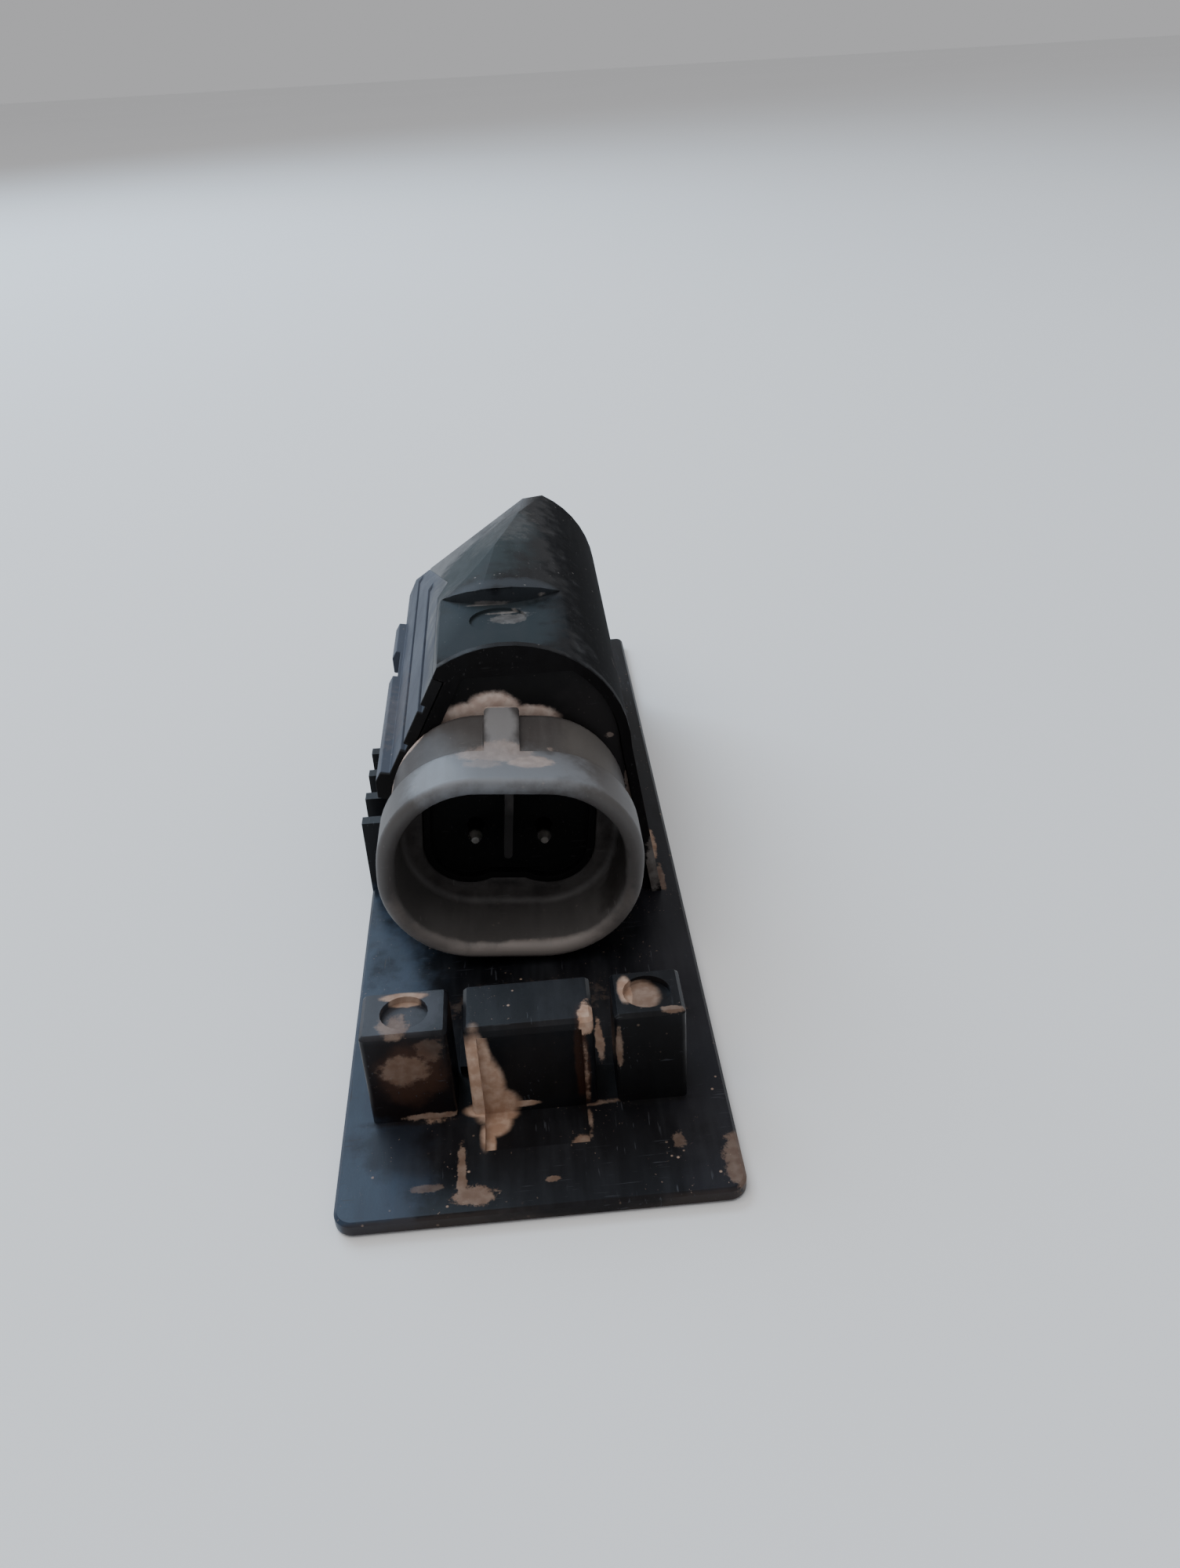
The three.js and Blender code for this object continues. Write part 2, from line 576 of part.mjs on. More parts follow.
function coilBobbin() {
  const profile = [[4.15, 54.4], [7.9, 54.4], [7.9, 56], [4.8, 56], [4.8, 72.4], [7.9, 72.4], [7.9, 74], [4.15, 74]];
  return part("coil_bobbin", turned(profile).subtract(pinClearance(0.2, 52, 55.7)), NATURAL_PLASTIC);
}

function coilWinding() {
  const profile = [[4.9, 56.15]];
  const turns = 7;
  const pitch = (72.25 - 56.15) / turns;
  for (let i = 0; i < turns; i += 1) {
    profile.push([7.2, 56.15 + i * pitch]);
    profile.push([7.5, 56.15 + (i + 0.5) * pitch]);
  }
  profile.push([7.2, 72.25]);
  profile.push([4.9, 72.25]);
  return part("coil_winding", turned(profile), COPPER);
}

function polePiece() {
  const profile = [[1.6, 49.8], [2.9, 49.8], [2.9, 54.3], [3.9, 54.3], [3.9, 63.5], [1.6, 63.5]];
  return part("pole_piece", turned(profile), ZINC_STEEL);
}

function adjusterTube() {
  return part("adjuster_tube", turned([[0.8, 50.6], [1.5, 50.6], [1.5, 56], [0.8, 56]], 20), POLISHED_STEEL);
}

/** Closed-wound ends are left out: one plain coil between the adjuster and the armature. */
function returnSpring() {
  class Coil extends THREE.Curve {
    getPoint(t, target = new THREE.Vector3()) {
      const angle = 2 * Math.PI * 6.5 * t;
      return target.set(1.15 * Math.cos(angle), at(56.35 + 8.7 * t), above(AXIS_HEIGHT) + 1.15 * Math.sin(angle));
    }
  }
  const wire = new THREE.Shape();
  wire.absarc(0, 0, 0.2, 0, 2 * Math.PI, false);
  const options = { steps: 90, curveSegments: 3, bevelEnabled: false, extrudePath: new Coil() };
  return part("return_spring", solid(new THREE.ExtrudeGeometry(wire, options)), POLISHED_STEEL);
}

// ---------------------------------------------------------------- valve
function armature() {
  const front = 63.5 + NEEDLE_LIFT + 0.05;
  const profile = [
    [1.55, front],
    [3.9, front],
    [3.9, 73],
    [1.05, 73],
    [1.05, 69.9],
    [0.6, 69.9],
    [0.6, 65.4],
    [1.55, 65.4],
  ];
  return part("armature", turned(profile), ZINC_STEEL);
}

function valveNeedle() {
  return part("valve_needle", turned([[0, 70], [0.95, 70], [0.95, 91.28], [0, 91.28]], 20), POLISHED_STEEL);
}

function valveBall() {
  const geometry = new THREE.SphereGeometry(1.5, 20, 10);
  geometry.rotateX(Math.PI / 2);
  geometry.translate(0, at(92.8), above(AXIS_HEIGHT));
  return part("valve_ball", solid(geometry), POLISHED_STEEL);
}

function nozzleBarrel() {
  const profile = [
    [2.4, 74.2],
    [5.05, 74.2],
    [5.05, 75.8],
    [7, 75.8],
    [7, 77.4],
    [4.6, 77.4],
    [4.6, 90.85],
    [4, 90.85],
    [4, 91.75],
    [4.6, 91.75],
    [4.6, 97],
    [3.2, 97],
    [3.2, 91],
    [2.4, 91],
  ];
  const height = above(AXIS_HEIGHT);
  const cross = new THREE.CylinderGeometry(0.7, 0.7, 14, 12);
  cross.rotateZ(Math.PI / 2);
  cross.translate(0, at(84), height);
  const body = turned(profile).subtract(postUp(0.7, 0, at(84), height - 7, height + 7, 12)).subtract(solid(cross));
  return part("nozzle_barrel", body, ZINC_STEEL);
}

/** Ring that steers the needle, with three flats for the fuel to pass. */
function needleGuide() {
  let body = turned([[1.02, 79], [2.35, 79], [2.35, 81.4], [1.02, 81.4]], 24);
  for (let i = 0; i < 3; i += 1) {
    const flat = new THREE.BoxGeometry(4, 6, 2);
    flat.translate(0, 0, 2.9);
    flat.rotateY((i * 2 * Math.PI) / 3);
    flat.translate(0, at(80.2), above(AXIS_HEIGHT));
    body = body.subtract(solid(flat));
  }
  return part("needle_guide", body, POLISHED_STEEL);
}

function valveSeat() {
  const cone = 92.8 + 1.53 * Math.SQRT2;
  const profile = [[1.62, 91.2], [3.1, 91.2], [3.1, 95.6], [0.8, 95.6], [0.8, cone - 0.8], [1.62, cone - 1.62]];
  return part("valve_seat", turned(profile), POLISHED_STEEL);
}

function orificePlate() {
  let body = turned([[0, 95.7], [3.1, 95.7], [3.1, 96.1], [0, 96.1]]);
  for (let i = 0; i < 4; i += 1) {
    const angle = (i * Math.PI) / 2 + Math.PI / 4;
    const z = above(AXIS_HEIGHT) + 0.5 * Math.sin(angle);
    body = body.subtract(barAlong(0.18, 0.5 * Math.cos(angle), z, 95, 97, 8));
  }
  return part("orifice_plate", body, POLISHED_STEEL);
}

function tipCap() {
  const profile = [
    [4.7, 93.9],
    [5.7, 93.9],
    [5.7, 98.6],
    [5.1, 99.8],
    [3, 99.8],
    [2.6, 99.2],
    [2.6, 97.1],
    [4.7, 97.1],
  ];
  return part("tip_cap", turned(profile), NATURAL_PLASTIC);
}

// ---------------------------------------------------------------- fuel feed and seals
/** Sleeve around the barrel with a pipe down to the plate's inlet port. */
function feedSleeve() {
  const height = above(AXIS_HEIGHT);
  let body = barAlong(7.6, 0, height, 79.5, 88.5, 36);
  body = body.add(postUp(3, 0, at(84), above(0), height, 24));
  body = body.subtract(barAlong(6.2, 0, height, 79, 89, 36));
  body = body.subtract(postUp(1.6, 0, at(84), above(-1), height, 24));
  return part("feed_sleeve", body, BLACK_PLASTIC);
}

/** Screen band with windows between its bars. */
function inletFilter() {
  let body = turned([[4.9, 82.5], [5.3, 82.5], [5.3, 85.5], [4.9, 85.5]], 36);
  for (let i = 0; i < 4; i += 1) {
    const window = new THREE.BoxGeometry(2.4, 1.8, 14);
    window.rotateY((i * Math.PI) / 4);
    window.translate(0, at(84), above(AXIS_HEIGHT));
    body = body.subtract(solid(window));
  }
  return part("inlet_filter", body, FILTER_MESH);
}

function portSealRing() {
  const points = [];
  for (let i = 0; i <= 8; i += 1) {
    const angle = (2 * Math.PI * i) / 8;
    points.push(new THREE.Vector2(4.1 + 0.42 * Math.cos(angle), 0.42 * Math.sin(angle)));
  }
  const geometry = new THREE.LatheGeometry(points, 24);
  geometry.rotateX(Math.PI / 2);
  geometry.translate(0, at(84), 0.47);
  return part("port_seal_ring", solid(geometry), RUBBER);
}

/** Flat fork that drops into the barrel's groove behind the rear bulkhead. */
function retainingClip() {
  const z = above(AXIS_HEIGHT);
  const shape = new THREE.Shape();
  shape.moveTo(-6.6, z - 5.5);
  shape.lineTo(-4.15, z - 5.5);
  shape.lineTo(-4.15, z);
  shape.absarc(0, z, 4.15, Math.PI, 0, true);
  shape.lineTo(4.15, z - 5.5);
  shape.lineTo(6.6, z - 5.5);
  shape.lineTo(6.6, z + 1.5);
  shape.lineTo(3.4, z + 6.8);
  shape.lineTo(-3.4, z + 6.8);
  shape.lineTo(-6.6, z + 1.5);
  return part("retaining_clip", prismAlong(shape, 90.92, 91.68), POLISHED_STEEL);
}

// ---------------------------------------------------------------- the whole object
const injector = new THREE.Group();
injector.name = "fuel_injector";
injector.add(mountingPlate(), bodyHousing(), sideCover(), frontBulkhead(), rearBulkhead(), plugEnd());
injector.add(solenoidCan(), yokeWasher(), coilBobbin(), coilWinding(), polePiece(), adjusterTube(), returnSpring());
injector.add(armature(), valveNeedle(), valveBall(), nozzleBarrel(), needleGuide(), valveSeat(), orificePlate());
injector.add(tipCap(), feedSleeve(), inletFilter(), portSealRing(), retainingClip());
injector.add(part("upper_seal_ring", sealRing(5.4, 0.77, 81.2), RUBBER));
injector.add(part("lower_seal_ring", sealRing(5.4, 0.77, 86.9), RUBBER));
injector.add(part("tip_seal_ring", sealRing(5.45, 0.75, 92.85), RUBBER));

export default injector;
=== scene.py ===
"""Looks of a solenoid fuel injector that lies along its moulded mounting plate."""

import logging
import math
from dataclasses import dataclass, field
from enum import Enum
from typing import Any, Callable, Sequence

import bpy
from mathutils import Matrix, Vector


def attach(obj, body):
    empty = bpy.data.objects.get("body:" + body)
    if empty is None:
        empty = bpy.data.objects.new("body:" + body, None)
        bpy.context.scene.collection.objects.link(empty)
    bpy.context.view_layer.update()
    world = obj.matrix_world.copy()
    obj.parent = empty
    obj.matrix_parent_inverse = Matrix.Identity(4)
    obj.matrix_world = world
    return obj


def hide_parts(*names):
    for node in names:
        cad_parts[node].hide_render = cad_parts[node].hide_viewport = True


LOG = logging.getLogger("injector")
MM = 0.001
BODY = "injector_body"
Triple = tuple[float, float, float]
Pair = tuple[float, float]

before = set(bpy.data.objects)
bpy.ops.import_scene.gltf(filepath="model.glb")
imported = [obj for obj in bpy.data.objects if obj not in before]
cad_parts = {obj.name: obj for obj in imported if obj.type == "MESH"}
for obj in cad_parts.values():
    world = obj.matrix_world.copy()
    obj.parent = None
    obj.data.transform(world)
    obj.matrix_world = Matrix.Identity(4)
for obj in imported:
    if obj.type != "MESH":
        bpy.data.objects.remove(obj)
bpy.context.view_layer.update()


# ---------------------------------------------------------------- shader maths
class Channel:
    """A single shader value that takes part in Python arithmetic."""

    def __init__(self, loom: "Loom", socket: bpy.types.NodeSocket) -> None:
        """Keeps the socket.

        Args:
            loom: the material being woven.
            socket: the output that holds the value.
        """
        self.loom = loom
        self.socket = socket

    def _math(self, operation: str, *values: Any) -> "Channel":
        """Adds one Math node.

        Args:
            operation: the Math node's operation.
            values: its inputs in order.

        Returns:
            The node's result.
        """
        made = self.loom.node("ShaderNodeMath", {"operation": operation}, dict(enumerate(values)))
        return Channel(self.loom, made.outputs[0])

    def __add__(self, other: Any) -> "Channel":
        """Sum."""
        return self._math("ADD", self, other)

    def __radd__(self, other: Any) -> "Channel":
        """Sum with a number on the left."""
        return self._math("ADD", other, self)

    def __sub__(self, other: Any) -> "Channel":
        """Difference."""
        return self._math("SUBTRACT", self, other)

    def __rsub__(self, other: Any) -> "Channel":
        """Difference with a number on the left."""
        return self._math("SUBTRACT", other, self)

    def __mul__(self, other: Any) -> "Channel":
        """Product."""
        return self._math("MULTIPLY", self, other)

    def __rmul__(self, other: Any) -> "Channel":
        """Product with a number on the left."""
        return self._math("MULTIPLY", other, self)

    def __abs__(self) -> "Channel":
        """Absolute value."""
        return self._math("ABSOLUTE", self)

    def lift(self, other: Any) -> "Channel":
        """The larger of two values."""
        return self._math("MAXIMUM", self, other)

    def cap(self, other: Any) -> "Channel":
        """The smaller of two values."""
        return self._math("MINIMUM", self, other)

    def wave(self) -> "Channel":
        """Sine of the value, moved into 0 to 1."""
        return self._math("SINE", self) * 0.5 + 0.5

    def step(self, low: float, high: float) -> "Channel":
        """Smooth rise from 0 at low to 1 at high.

        Args:
            low: the value that gives 0.
            high: the value that gives 1.

        Returns:
            The eased value.
        """
        settings = {"interpolation_type": "SMOOTHSTEP", "clamp": True}
        made = self.loom.node(
            "ShaderNodeMapRange", settings, {"Value": self, "From Min": low, "From Max": high}
        )
        return Channel(self.loom, made.outputs[0])


class Loom:
    """Weaves one node material."""

    def __init__(self, name: str) -> None:
        """Starts an empty material.

        Args:
            name: the material's name.
        """
        self.material = bpy.data.materials.new(name)
        self.material.use_nodes = True
        self.tree = self.material.node_tree
        self.tree.nodes.clear()
        place = self.node("ShaderNodeTexCoord", {}, {}).outputs["Object"]
        self.place = self.vector("SCALE", place, scale=1 / MM)
        self.normal = self.node("ShaderNodeNewGeometry", {}, {}).outputs["Normal"]

    def node(self, kind: str, settings: dict[str, Any], inputs: dict[Any, Any]) -> bpy.types.Node:
        """Adds any node, sets it up and fills its sockets.

        Args:
            kind: the node's type name.
            settings: the node's own properties, set before its sockets.
            inputs: socket name or index to a number, tuple, channel or output.

        Returns:
            The node.
        """
        made = self.tree.nodes.new(kind)
        for key, value in settings.items():
            if key == "stops":
                self._ramp(made, value)
            else:
                setattr(made, key, value)
        for key, value in inputs.items():
            target = made.inputs[key]
            if isinstance(value, Channel):
                self.tree.links.new(value.socket, target)
            elif isinstance(value, bpy.types.NodeSocket):
                self.tree.links.new(value, target)
            else:
                target.default_value = value
        return made

    @staticmethod
    def _ramp(made: bpy.types.Node, stops: Sequence[tuple[float, Sequence[float]]]) -> None:
        """Fills a colour ramp.

        Args:
            made: the ramp node.
            stops: position and colour of each stop.
        """
        ramp = made.color_ramp
        while len(ramp.elements) < len(stops):
            ramp.elements.new(1.0)
        for element, (position, colour) in zip(ramp.elements, stops):
            element.position = position
            element.color = (*colour, 1.0)

    def vector(
        self, operation: str, first: Any, second: Any = None, scale: Any = None
    ) -> bpy.types.NodeSocket:
        """Adds a Vector Math node.

        Args:
            operation: the node's operation.
            first: its first vector.
            second: its second vector, if it takes one.
            scale: its scale, if it takes one.

        Returns:
            The node's result, a vector or for a length its value.
        """
        inputs: dict[Any, Any] = {0: first}
        if second is not None:
            inputs[1] = second
        if scale is not None:
            inputs["Scale"] = scale
        made = self.node("ShaderNodeVectorMath", {"operation": operation}, inputs)
        single = operation in ("LENGTH", "DOT_PRODUCT", "DISTANCE")
        return made.outputs["Value" if single else "Vector"]

    def noise(self, scale: float, detail: float = 3.0, stretch: Triple = (1, 1, 1), shift: float = 0.0,
              rough: float = 0.5) -> Channel:
        """Fractal noise over the object.

        Args:
            scale: features per millimetre.
            detail: octaves.
            stretch: how much finer the noise runs along each axis.
            shift: offset that gives a different field.
            rough: weight of the fine octaves.

        Returns:
            A value about one half.
        """
        at = self.vector("MULTIPLY", self.place, stretch)
        if shift:
            at = self.vector("ADD", at, (shift, shift * 0.7, -shift))
        inputs = {"Vector": at, "Scale": scale, "Detail": detail, "Roughness": rough}
        return Channel(self, self.node("ShaderNodeTexNoise", {}, inputs).outputs[0])

    def cells(self, scale: float, feature: str = "F1", stretch: Triple = (1, 1, 1)) -> Channel:
        """Distance to scattered points.

        Args:
            scale: points per millimetre.
            feature: the Voronoi node's feature.
            stretch: how much finer the cells run along each axis.

        Returns:
            The distance.
        """
        at = self.vector("MULTIPLY", self.place, stretch)
        made = self.node("ShaderNodeTexVoronoi", {"feature": feature}, {"Vector": at, "Scale": scale})
        return Channel(self, made.outputs["Distance"])

    def axis(self, index: int, vector: Any = None) -> Channel:
        """One component of a vector, by default of the place on the object.

        Args:
            index: 0, 1 or 2.
            vector: the vector to split.

        Returns:
            The component.
        """
        made = self.node("ShaderNodeSeparateXYZ", {}, {0: self.place if vector is None else vector})
        return Channel(self, made.outputs[index])

    def blob(self, centre: Triple, radii: Triple) -> Channel:
        """Soft ellipsoid: 1 at its centre, 0 at its surface and below 0 outside.

        Args:
            centre: its centre in millimetres.
            radii: its half sizes in millimetres.

        Returns:
            The value.
        """
        away = self.vector("SUBTRACT", self.place, centre)
        away = self.vector("DIVIDE", away, radii)
        return 1 - Channel(self, self.vector("LENGTH", away))

    def mix(self, factor: Any, first: Any, second: Any) -> bpy.types.NodeSocket:
        """Colour mix.

        Args:
            factor: weight of the second colour.
            first: colour at 0.
            second: colour at 1.

        Returns:
            The mixed colour.
        """
        inputs: dict[Any, Any] = {0: factor}
        for index, colour in ((6, first), (7, second)):
            plain = isinstance(colour, tuple) and len(colour) == 3
            inputs[index] = (*colour, 1.0) if plain else colour
        return self.node("ShaderNodeMix", {"data_type": "RGBA"}, inputs).outputs[2]

    def bump(
        self, height: Channel, strength: float, distance: float, below: Any = None
    ) -> bpy.types.NodeSocket:
        """Bump from a height.

        Args:
            height: the height, about 0 to 1.
            strength: the bump's strength.
            distance: the height of 1, in metres.
            below: a normal that this one goes over.

        Returns:
            The bent normal.
        """
        inputs: dict[Any, Any] = {"Height": height, "Strength": strength, "Distance": distance}
        if below is not None:
            inputs["Normal"] = below
        return self.node("ShaderNodeBump", {}, inputs).outputs[0]

    def surface(self, varying: dict[str, Any], steady: dict[str, Any]) -> bpy.types.Material:
        """Closes the material with one Principled shader.

        Args:
            varying: sockets that change over the surface.
            steady: sockets with one value all over.

        Returns:
            The material.
        """
        shader = self.node("ShaderNodeBsdfPrincipled", {}, {**steady, **varying})
        self.node("ShaderNodeOutputMaterial", {}, {"Surface": shader.outputs[0]})
        return self.material


# ---------------------------------------------------------------- finishes
@dataclass(frozen=True)
class DustPatch:
    """One place where dry soil has settled."""

    centre: Triple
    radii: Triple
    weight: float = 1.0
    ragged: float = 1.0


@dataclass(frozen=True)
class Tint:
    """A soft change of colour and roughness in one region: painted sheen, highlight or shade in most
    regions, a brown soil stain in a few.
    """

    centre: Triple
    radii: Triple
    colour: Triple
    weight: float
    roughness: float = 0.0


@dataclass(frozen=True)
class Moulding:
    """Injection-moulded plastic with a handled, dusty skin, and painted sheen, highlight and shade in
    listed regions.
    """

    name: str
    colour: Triple
    worn: Triple
    roughness: float
    film: float
    film_colour: Triple = (0.055, 0.054, 0.056)
    dust: Triple = (0.41, 0.255, 0.175)
    dust_light: Triple = (0.58, 0.41, 0.31)
    grain: float = 0.25
    specks: float = 1.0
    scuffs: float = 0.4
    ior: float = 1.27
    patches: tuple[DustPatch, ...] = ()
    sheen_shade_and_stains: tuple[Tint, ...] = ()
    rings: tuple[tuple[Triple, float], ...] = ()

    def _patch_mask(self, loom: Loom) -> Channel:
        """Sum of the dust patches with ragged edges.

        Args:
            loom: the material.

        Returns:
            The mask.
        """
        ragged = loom.noise(0.75, 6.0, rough=0.66) - 0.5
        fine = loom.noise(3.4, 4.0, shift=11.0, rough=0.7) - 0.5
        total = None
        for patch in self.patches:
            level = loom.blob(patch.centre, patch.radii) + (ragged * 1.5 + fine * 0.6) * patch.ragged
            one = level.step(0.04, 0.34) * patch.weight
            total = one if total is None else total.lift(one)
        return total if total is not None else ragged * 0.0

    def _spots(self, loom: Loom, settle: Channel) -> Channel:
        """Scattered round drops and small flecks of soil, fewest on steep faces.

        Args:
            loom: the material.
            settle: how much settles, by the slope of the face.

        Returns:
            The mask.
        """
        drops = loom.cells(0.62).step(0.11, 0.05) * loom.noise(0.16, 2.0, shift=3.0).step(0.5, 0.62)
        flecks = loom.noise(3.4, 2.0, shift=17.0).step(0.69, 0.76)
        flecks = flecks * loom.noise(0.2, 2.0, shift=9.0).step(0.45, 0.6)
        return (drops * 0.7 + flecks * 0.4) * settle * self.specks

    @staticmethod
    def _scratches(loom: Loom) -> Channel:
        """Scratches across the plate and hair lines along it, in a few worn regions.

        Args:
            loom: the material.

        Returns:
            The mask.
        """
        across = loom.noise(1.3, 2.0, stretch=(0.25, 5.0, 2.0), shift=23.0).step(0.67, 0.73)
        across = across * loom.noise(0.12, 1.0, shift=31.0).step(0.48, 0.62)
        along = loom.noise(1.1, 1.0, stretch=(4.0, 0.35, 2.0), shift=41.0).step(0.69, 0.73)
        along = along * loom.noise(0.15, 1.0, shift=37.0).step(0.5, 0.6)
        return across.lift(along)

    def _toned(self, loom: Loom, cloud: Channel, gloss: Channel) -> tuple[bpy.types.NodeSocket, Channel]:
        """The bare plastic with random tone, then the regional tints: painted sheen, highlight and shade
        in most regions, brown soil stains in a few.

        Args:
            loom: the material.
            cloud: broad noise.
            gloss: roughness before the tones.

        Returns:
            Colour and roughness.
        """
        colour = loom.mix(loom.noise(0.5, 4.0, shift=2.0) * 0.6, self.colour, self.worn)
        mottle = (loom.noise(0.45, 5.0, shift=19.0, rough=0.6) - 0.5) * 0.7
        mottle = (cloud - 0.5) * 0.5 + mottle
        # each region blends in its colour with a noisy edge: painted sheen, highlight or shade in most
        # regions, a brown soil stain in a few
        for tint in self.sheen_shade_and_stains:
            area = (loom.blob(tint.centre, tint.radii) + mottle).step(0.0, 0.45) * tint.weight
            colour = loom.mix(area, colour, tint.colour)
            gloss = gloss + area * tint.roughness
        return colour, gloss

    def _relief(self, loom: Loom, swell: Channel, marks: Channel, soil: Channel) -> bpy.types.NodeSocket:
        """Grain, swell, scratches, soil and round marks as one bent normal.

        Args:
            loom: the material.
            swell: height of the broad waves.
            marks: mask of the scratches.
            soil: height of the soil.

        Returns:
            The normal.
        """
        normal = loom.bump(loom.noise(5.5, 3.0, shift=1.0), self.grain, 0.02 * MM)
        normal = loom.bump(swell, 0.3, 0.10 * MM, normal)
        normal = loom.bump(1 - marks, 0.2, 0.03 * MM, normal)
        normal = loom.bump(soil, 0.6, 0.10 * MM, normal)
        for centre, radius in self.rings:
            away = Channel(loom, loom.vector("DISTANCE", loom.place, centre))
            ring = abs(away - radius).step(0.30, 0.05)
            normal = loom.bump(1 - ring, 0.5, 0.10 * MM, normal)
        return normal

    def material(self) -> bpy.types.Material:
        """Weaves the finish.

        Returns:
            The finished material.
        """
        loom = Loom(self.name)
        cloud = loom.noise(0.11, 5.0, stretch=(1.5, 0.7, 1.0), rough=0.62)
        streak = loom.noise(0.35, 3.0, stretch=(3.2, 0.35, 1.0), shift=5.0)
        settle = loom.axis(2, loom.normal).step(-0.2, 0.9) * 0.8 + 0.2
        wipe = (cloud * 0.75 + streak * 0.35).step(0.44, 0.80)
        film = (wipe * settle * self.film).cap(1.0)
        specks = self._spots(loom, settle)
        patches = self._patch_mask(loom)
        marks = self._scratches(loom)
        gloss = self.roughness + film * 0.22 + (cloud - 0.5) * 0.10
        colour, gloss = self._toned(loom, cloud, gloss)
        colour = loom.mix(film * 0.5, colour, self.film_colour)
        colour = loom.mix((marks * self.scuffs).cap(1.0), colour, self.film_colour)
        soil = loom.mix(loom.noise(0.9, 5.0, shift=7.0).step(0.35, 0.7), self.dust, self.dust_light)
        colour = loom.mix((specks * 0.75).cap(0.85), colour, self.dust_light)
        colour = loom.mix(patches.cap(0.95), colour, soil)
        gloss = gloss + marks * 0.12 + specks * 0.2 + patches * 0.55
        crumb = loom.noise(1.9, 6.0, shift=13.0, rough=0.75)
        heap = patches * (0.5 + crumb * 0.6) + specks * 0.4
        normal = self._relief(loom, cloud * 0.6 + streak * 0.15, marks, heap)
        varying = {"Base Color": colour, "Roughness": gloss.cap(0.97).lift(0.08), "Normal": normal}
        return loom.surface(varying, {"IOR": self.ior})


@dataclass(frozen=True)
class TurnedMetal:
    """Turned or drawn metal with fine circular tool lines round the injector's axis."""

    name: str
    colour: Triple
    dull: Triple
    roughness: float
    lines: float = 1.0

    def material(self) -> bpy.types.Material:
        """Weaves the finish.

        Returns:
            The finished material.
        """
        loom = Loom(self.name)
        lines = loom.noise(6.0, 2.0, stretch=(0.15, 4.0, 0.15))
        tarnish = loom.noise(0.4, 5.0, shift=4.0, rough=0.65).step(0.42, 0.72)
        pits = loom.noise(2.5, 3.0, shift=8.0).step(0.63, 0.75)
        colour = loom.mix(tarnish * 0.7, self.colour, self.dull)
        colour = loom.mix(pits * 0.3, colour, (0.16, 0.12, 0.09))
        gloss = self.roughness + (lines - 0.5) * 0.25 + tarnish * 0.18 + pits * 0.2
        normal = loom.bump(lines, 0.35 * self.lines, 0.02 * MM)
        normal = loom.bump(1 - pits, 0.3, 0.03 * MM, normal)
        varying = {"Base Color": colour, "Roughness": gloss, "Normal": normal}
        return loom.surface(varying, {"Metallic": 1.0})


@dataclass(frozen=True)
class PinMetal:
    """Tinned pin: its shank painted near black as shade, with tarnish mottling, and a painted highlight at
    its tip.
    """

    name: str
    tip_station: float = 39.5

    def material(self) -> bpy.types.Material:
        """Weaves the finish.

        Returns:
            The finished material.
        """
        loom = Loom(self.name)
        # painted highlight: the pin is painted bright over its tip
        tip = loom.axis(1).step(NEAR_END + self.tip_station + 0.5, NEAR_END + self.tip_station - 0.3)
        stain = loom.noise(1.2, 4.0).step(0.4, 0.7)
        # painted shade: the shank is painted near black, mottled by tarnish
        shank = loom.mix(stain, (0.050, 0.038, 0.028), (0.024, 0.018, 0.014))
        colour = loom.mix(tip, shank, (0.92, 0.88, 0.80))
        normal = loom.bump(stain, 0.3, 0.02 * MM)
        gloss = 0.5 - tip * 0.2 + stain * 0.1
        varying = {"Base Color": colour, "Roughness": gloss, "Normal": normal}
        return loom.surface(varying, {"Metallic": 1.0})


@dataclass(frozen=True)
class MouldedRubber:
    """Soft black seal rubber with bloom and fine flash."""

    name: str
    colour: Triple = (0.018, 0.018, 0.019)

    def material(self) -> bpy.types.Material:
        """Weaves the finish.

        Returns:
            The finished material.
        """
        loom = Loom(self.name)
        bloom = loom.noise(0.8, 5.0, rough=0.65).step(0.4, 0.75)
        grain = loom.noise(7.0, 3.0, shift=3.0)
        colour = loom.mix(bloom * 0.5, self.colour, (0.07, 0.068, 0.066))
        normal = loom.bump(grain, 0.4, 0.02 * MM)
        varying = {"Base Color": colour, "Roughness": 0.62 + bloom * 0.2, "Normal": normal}
        return loom.surface(varying, {"IOR": 1.48})


@dataclass(frozen=True)
class WoundWire:
    """Enamelled copper laid turn by turn round the injector's axis."""

    name: str
    pitch_mm: float = 0.35

    def material(self) -> bpy.types.Material:
        """Weaves the finish.

        Returns:
            The finished material.
        """
        loom = Loom(self.name)
        turn = loom.axis(1) * (2 * math.pi / self.pitch_mm) + loom.noise(0.4, 2.0) * 1.5
        ridge = turn.wave()
        shade = loom.noise(0.9, 4.0, shift=5.0)
        # colour runs from bright copper on each turn's crown to near black between turns: painted shade in
        # the grooves
        colour = loom.mix(ridge, (0.10, 0.028, 0.010), (0.62, 0.24, 0.085))
        colour = loom.mix(shade.step(0.45, 0.8) * 0.5, colour, (0.25, 0.09, 0.03))
        normal = loom.bump(ridge, 0.8, 0.08 * MM)
        varying = {"Base Color": colour, "Roughness": 0.3 + shade * 0.15, "Normal": normal}
        return loom.surface(varying, {"Metallic": 0.85})


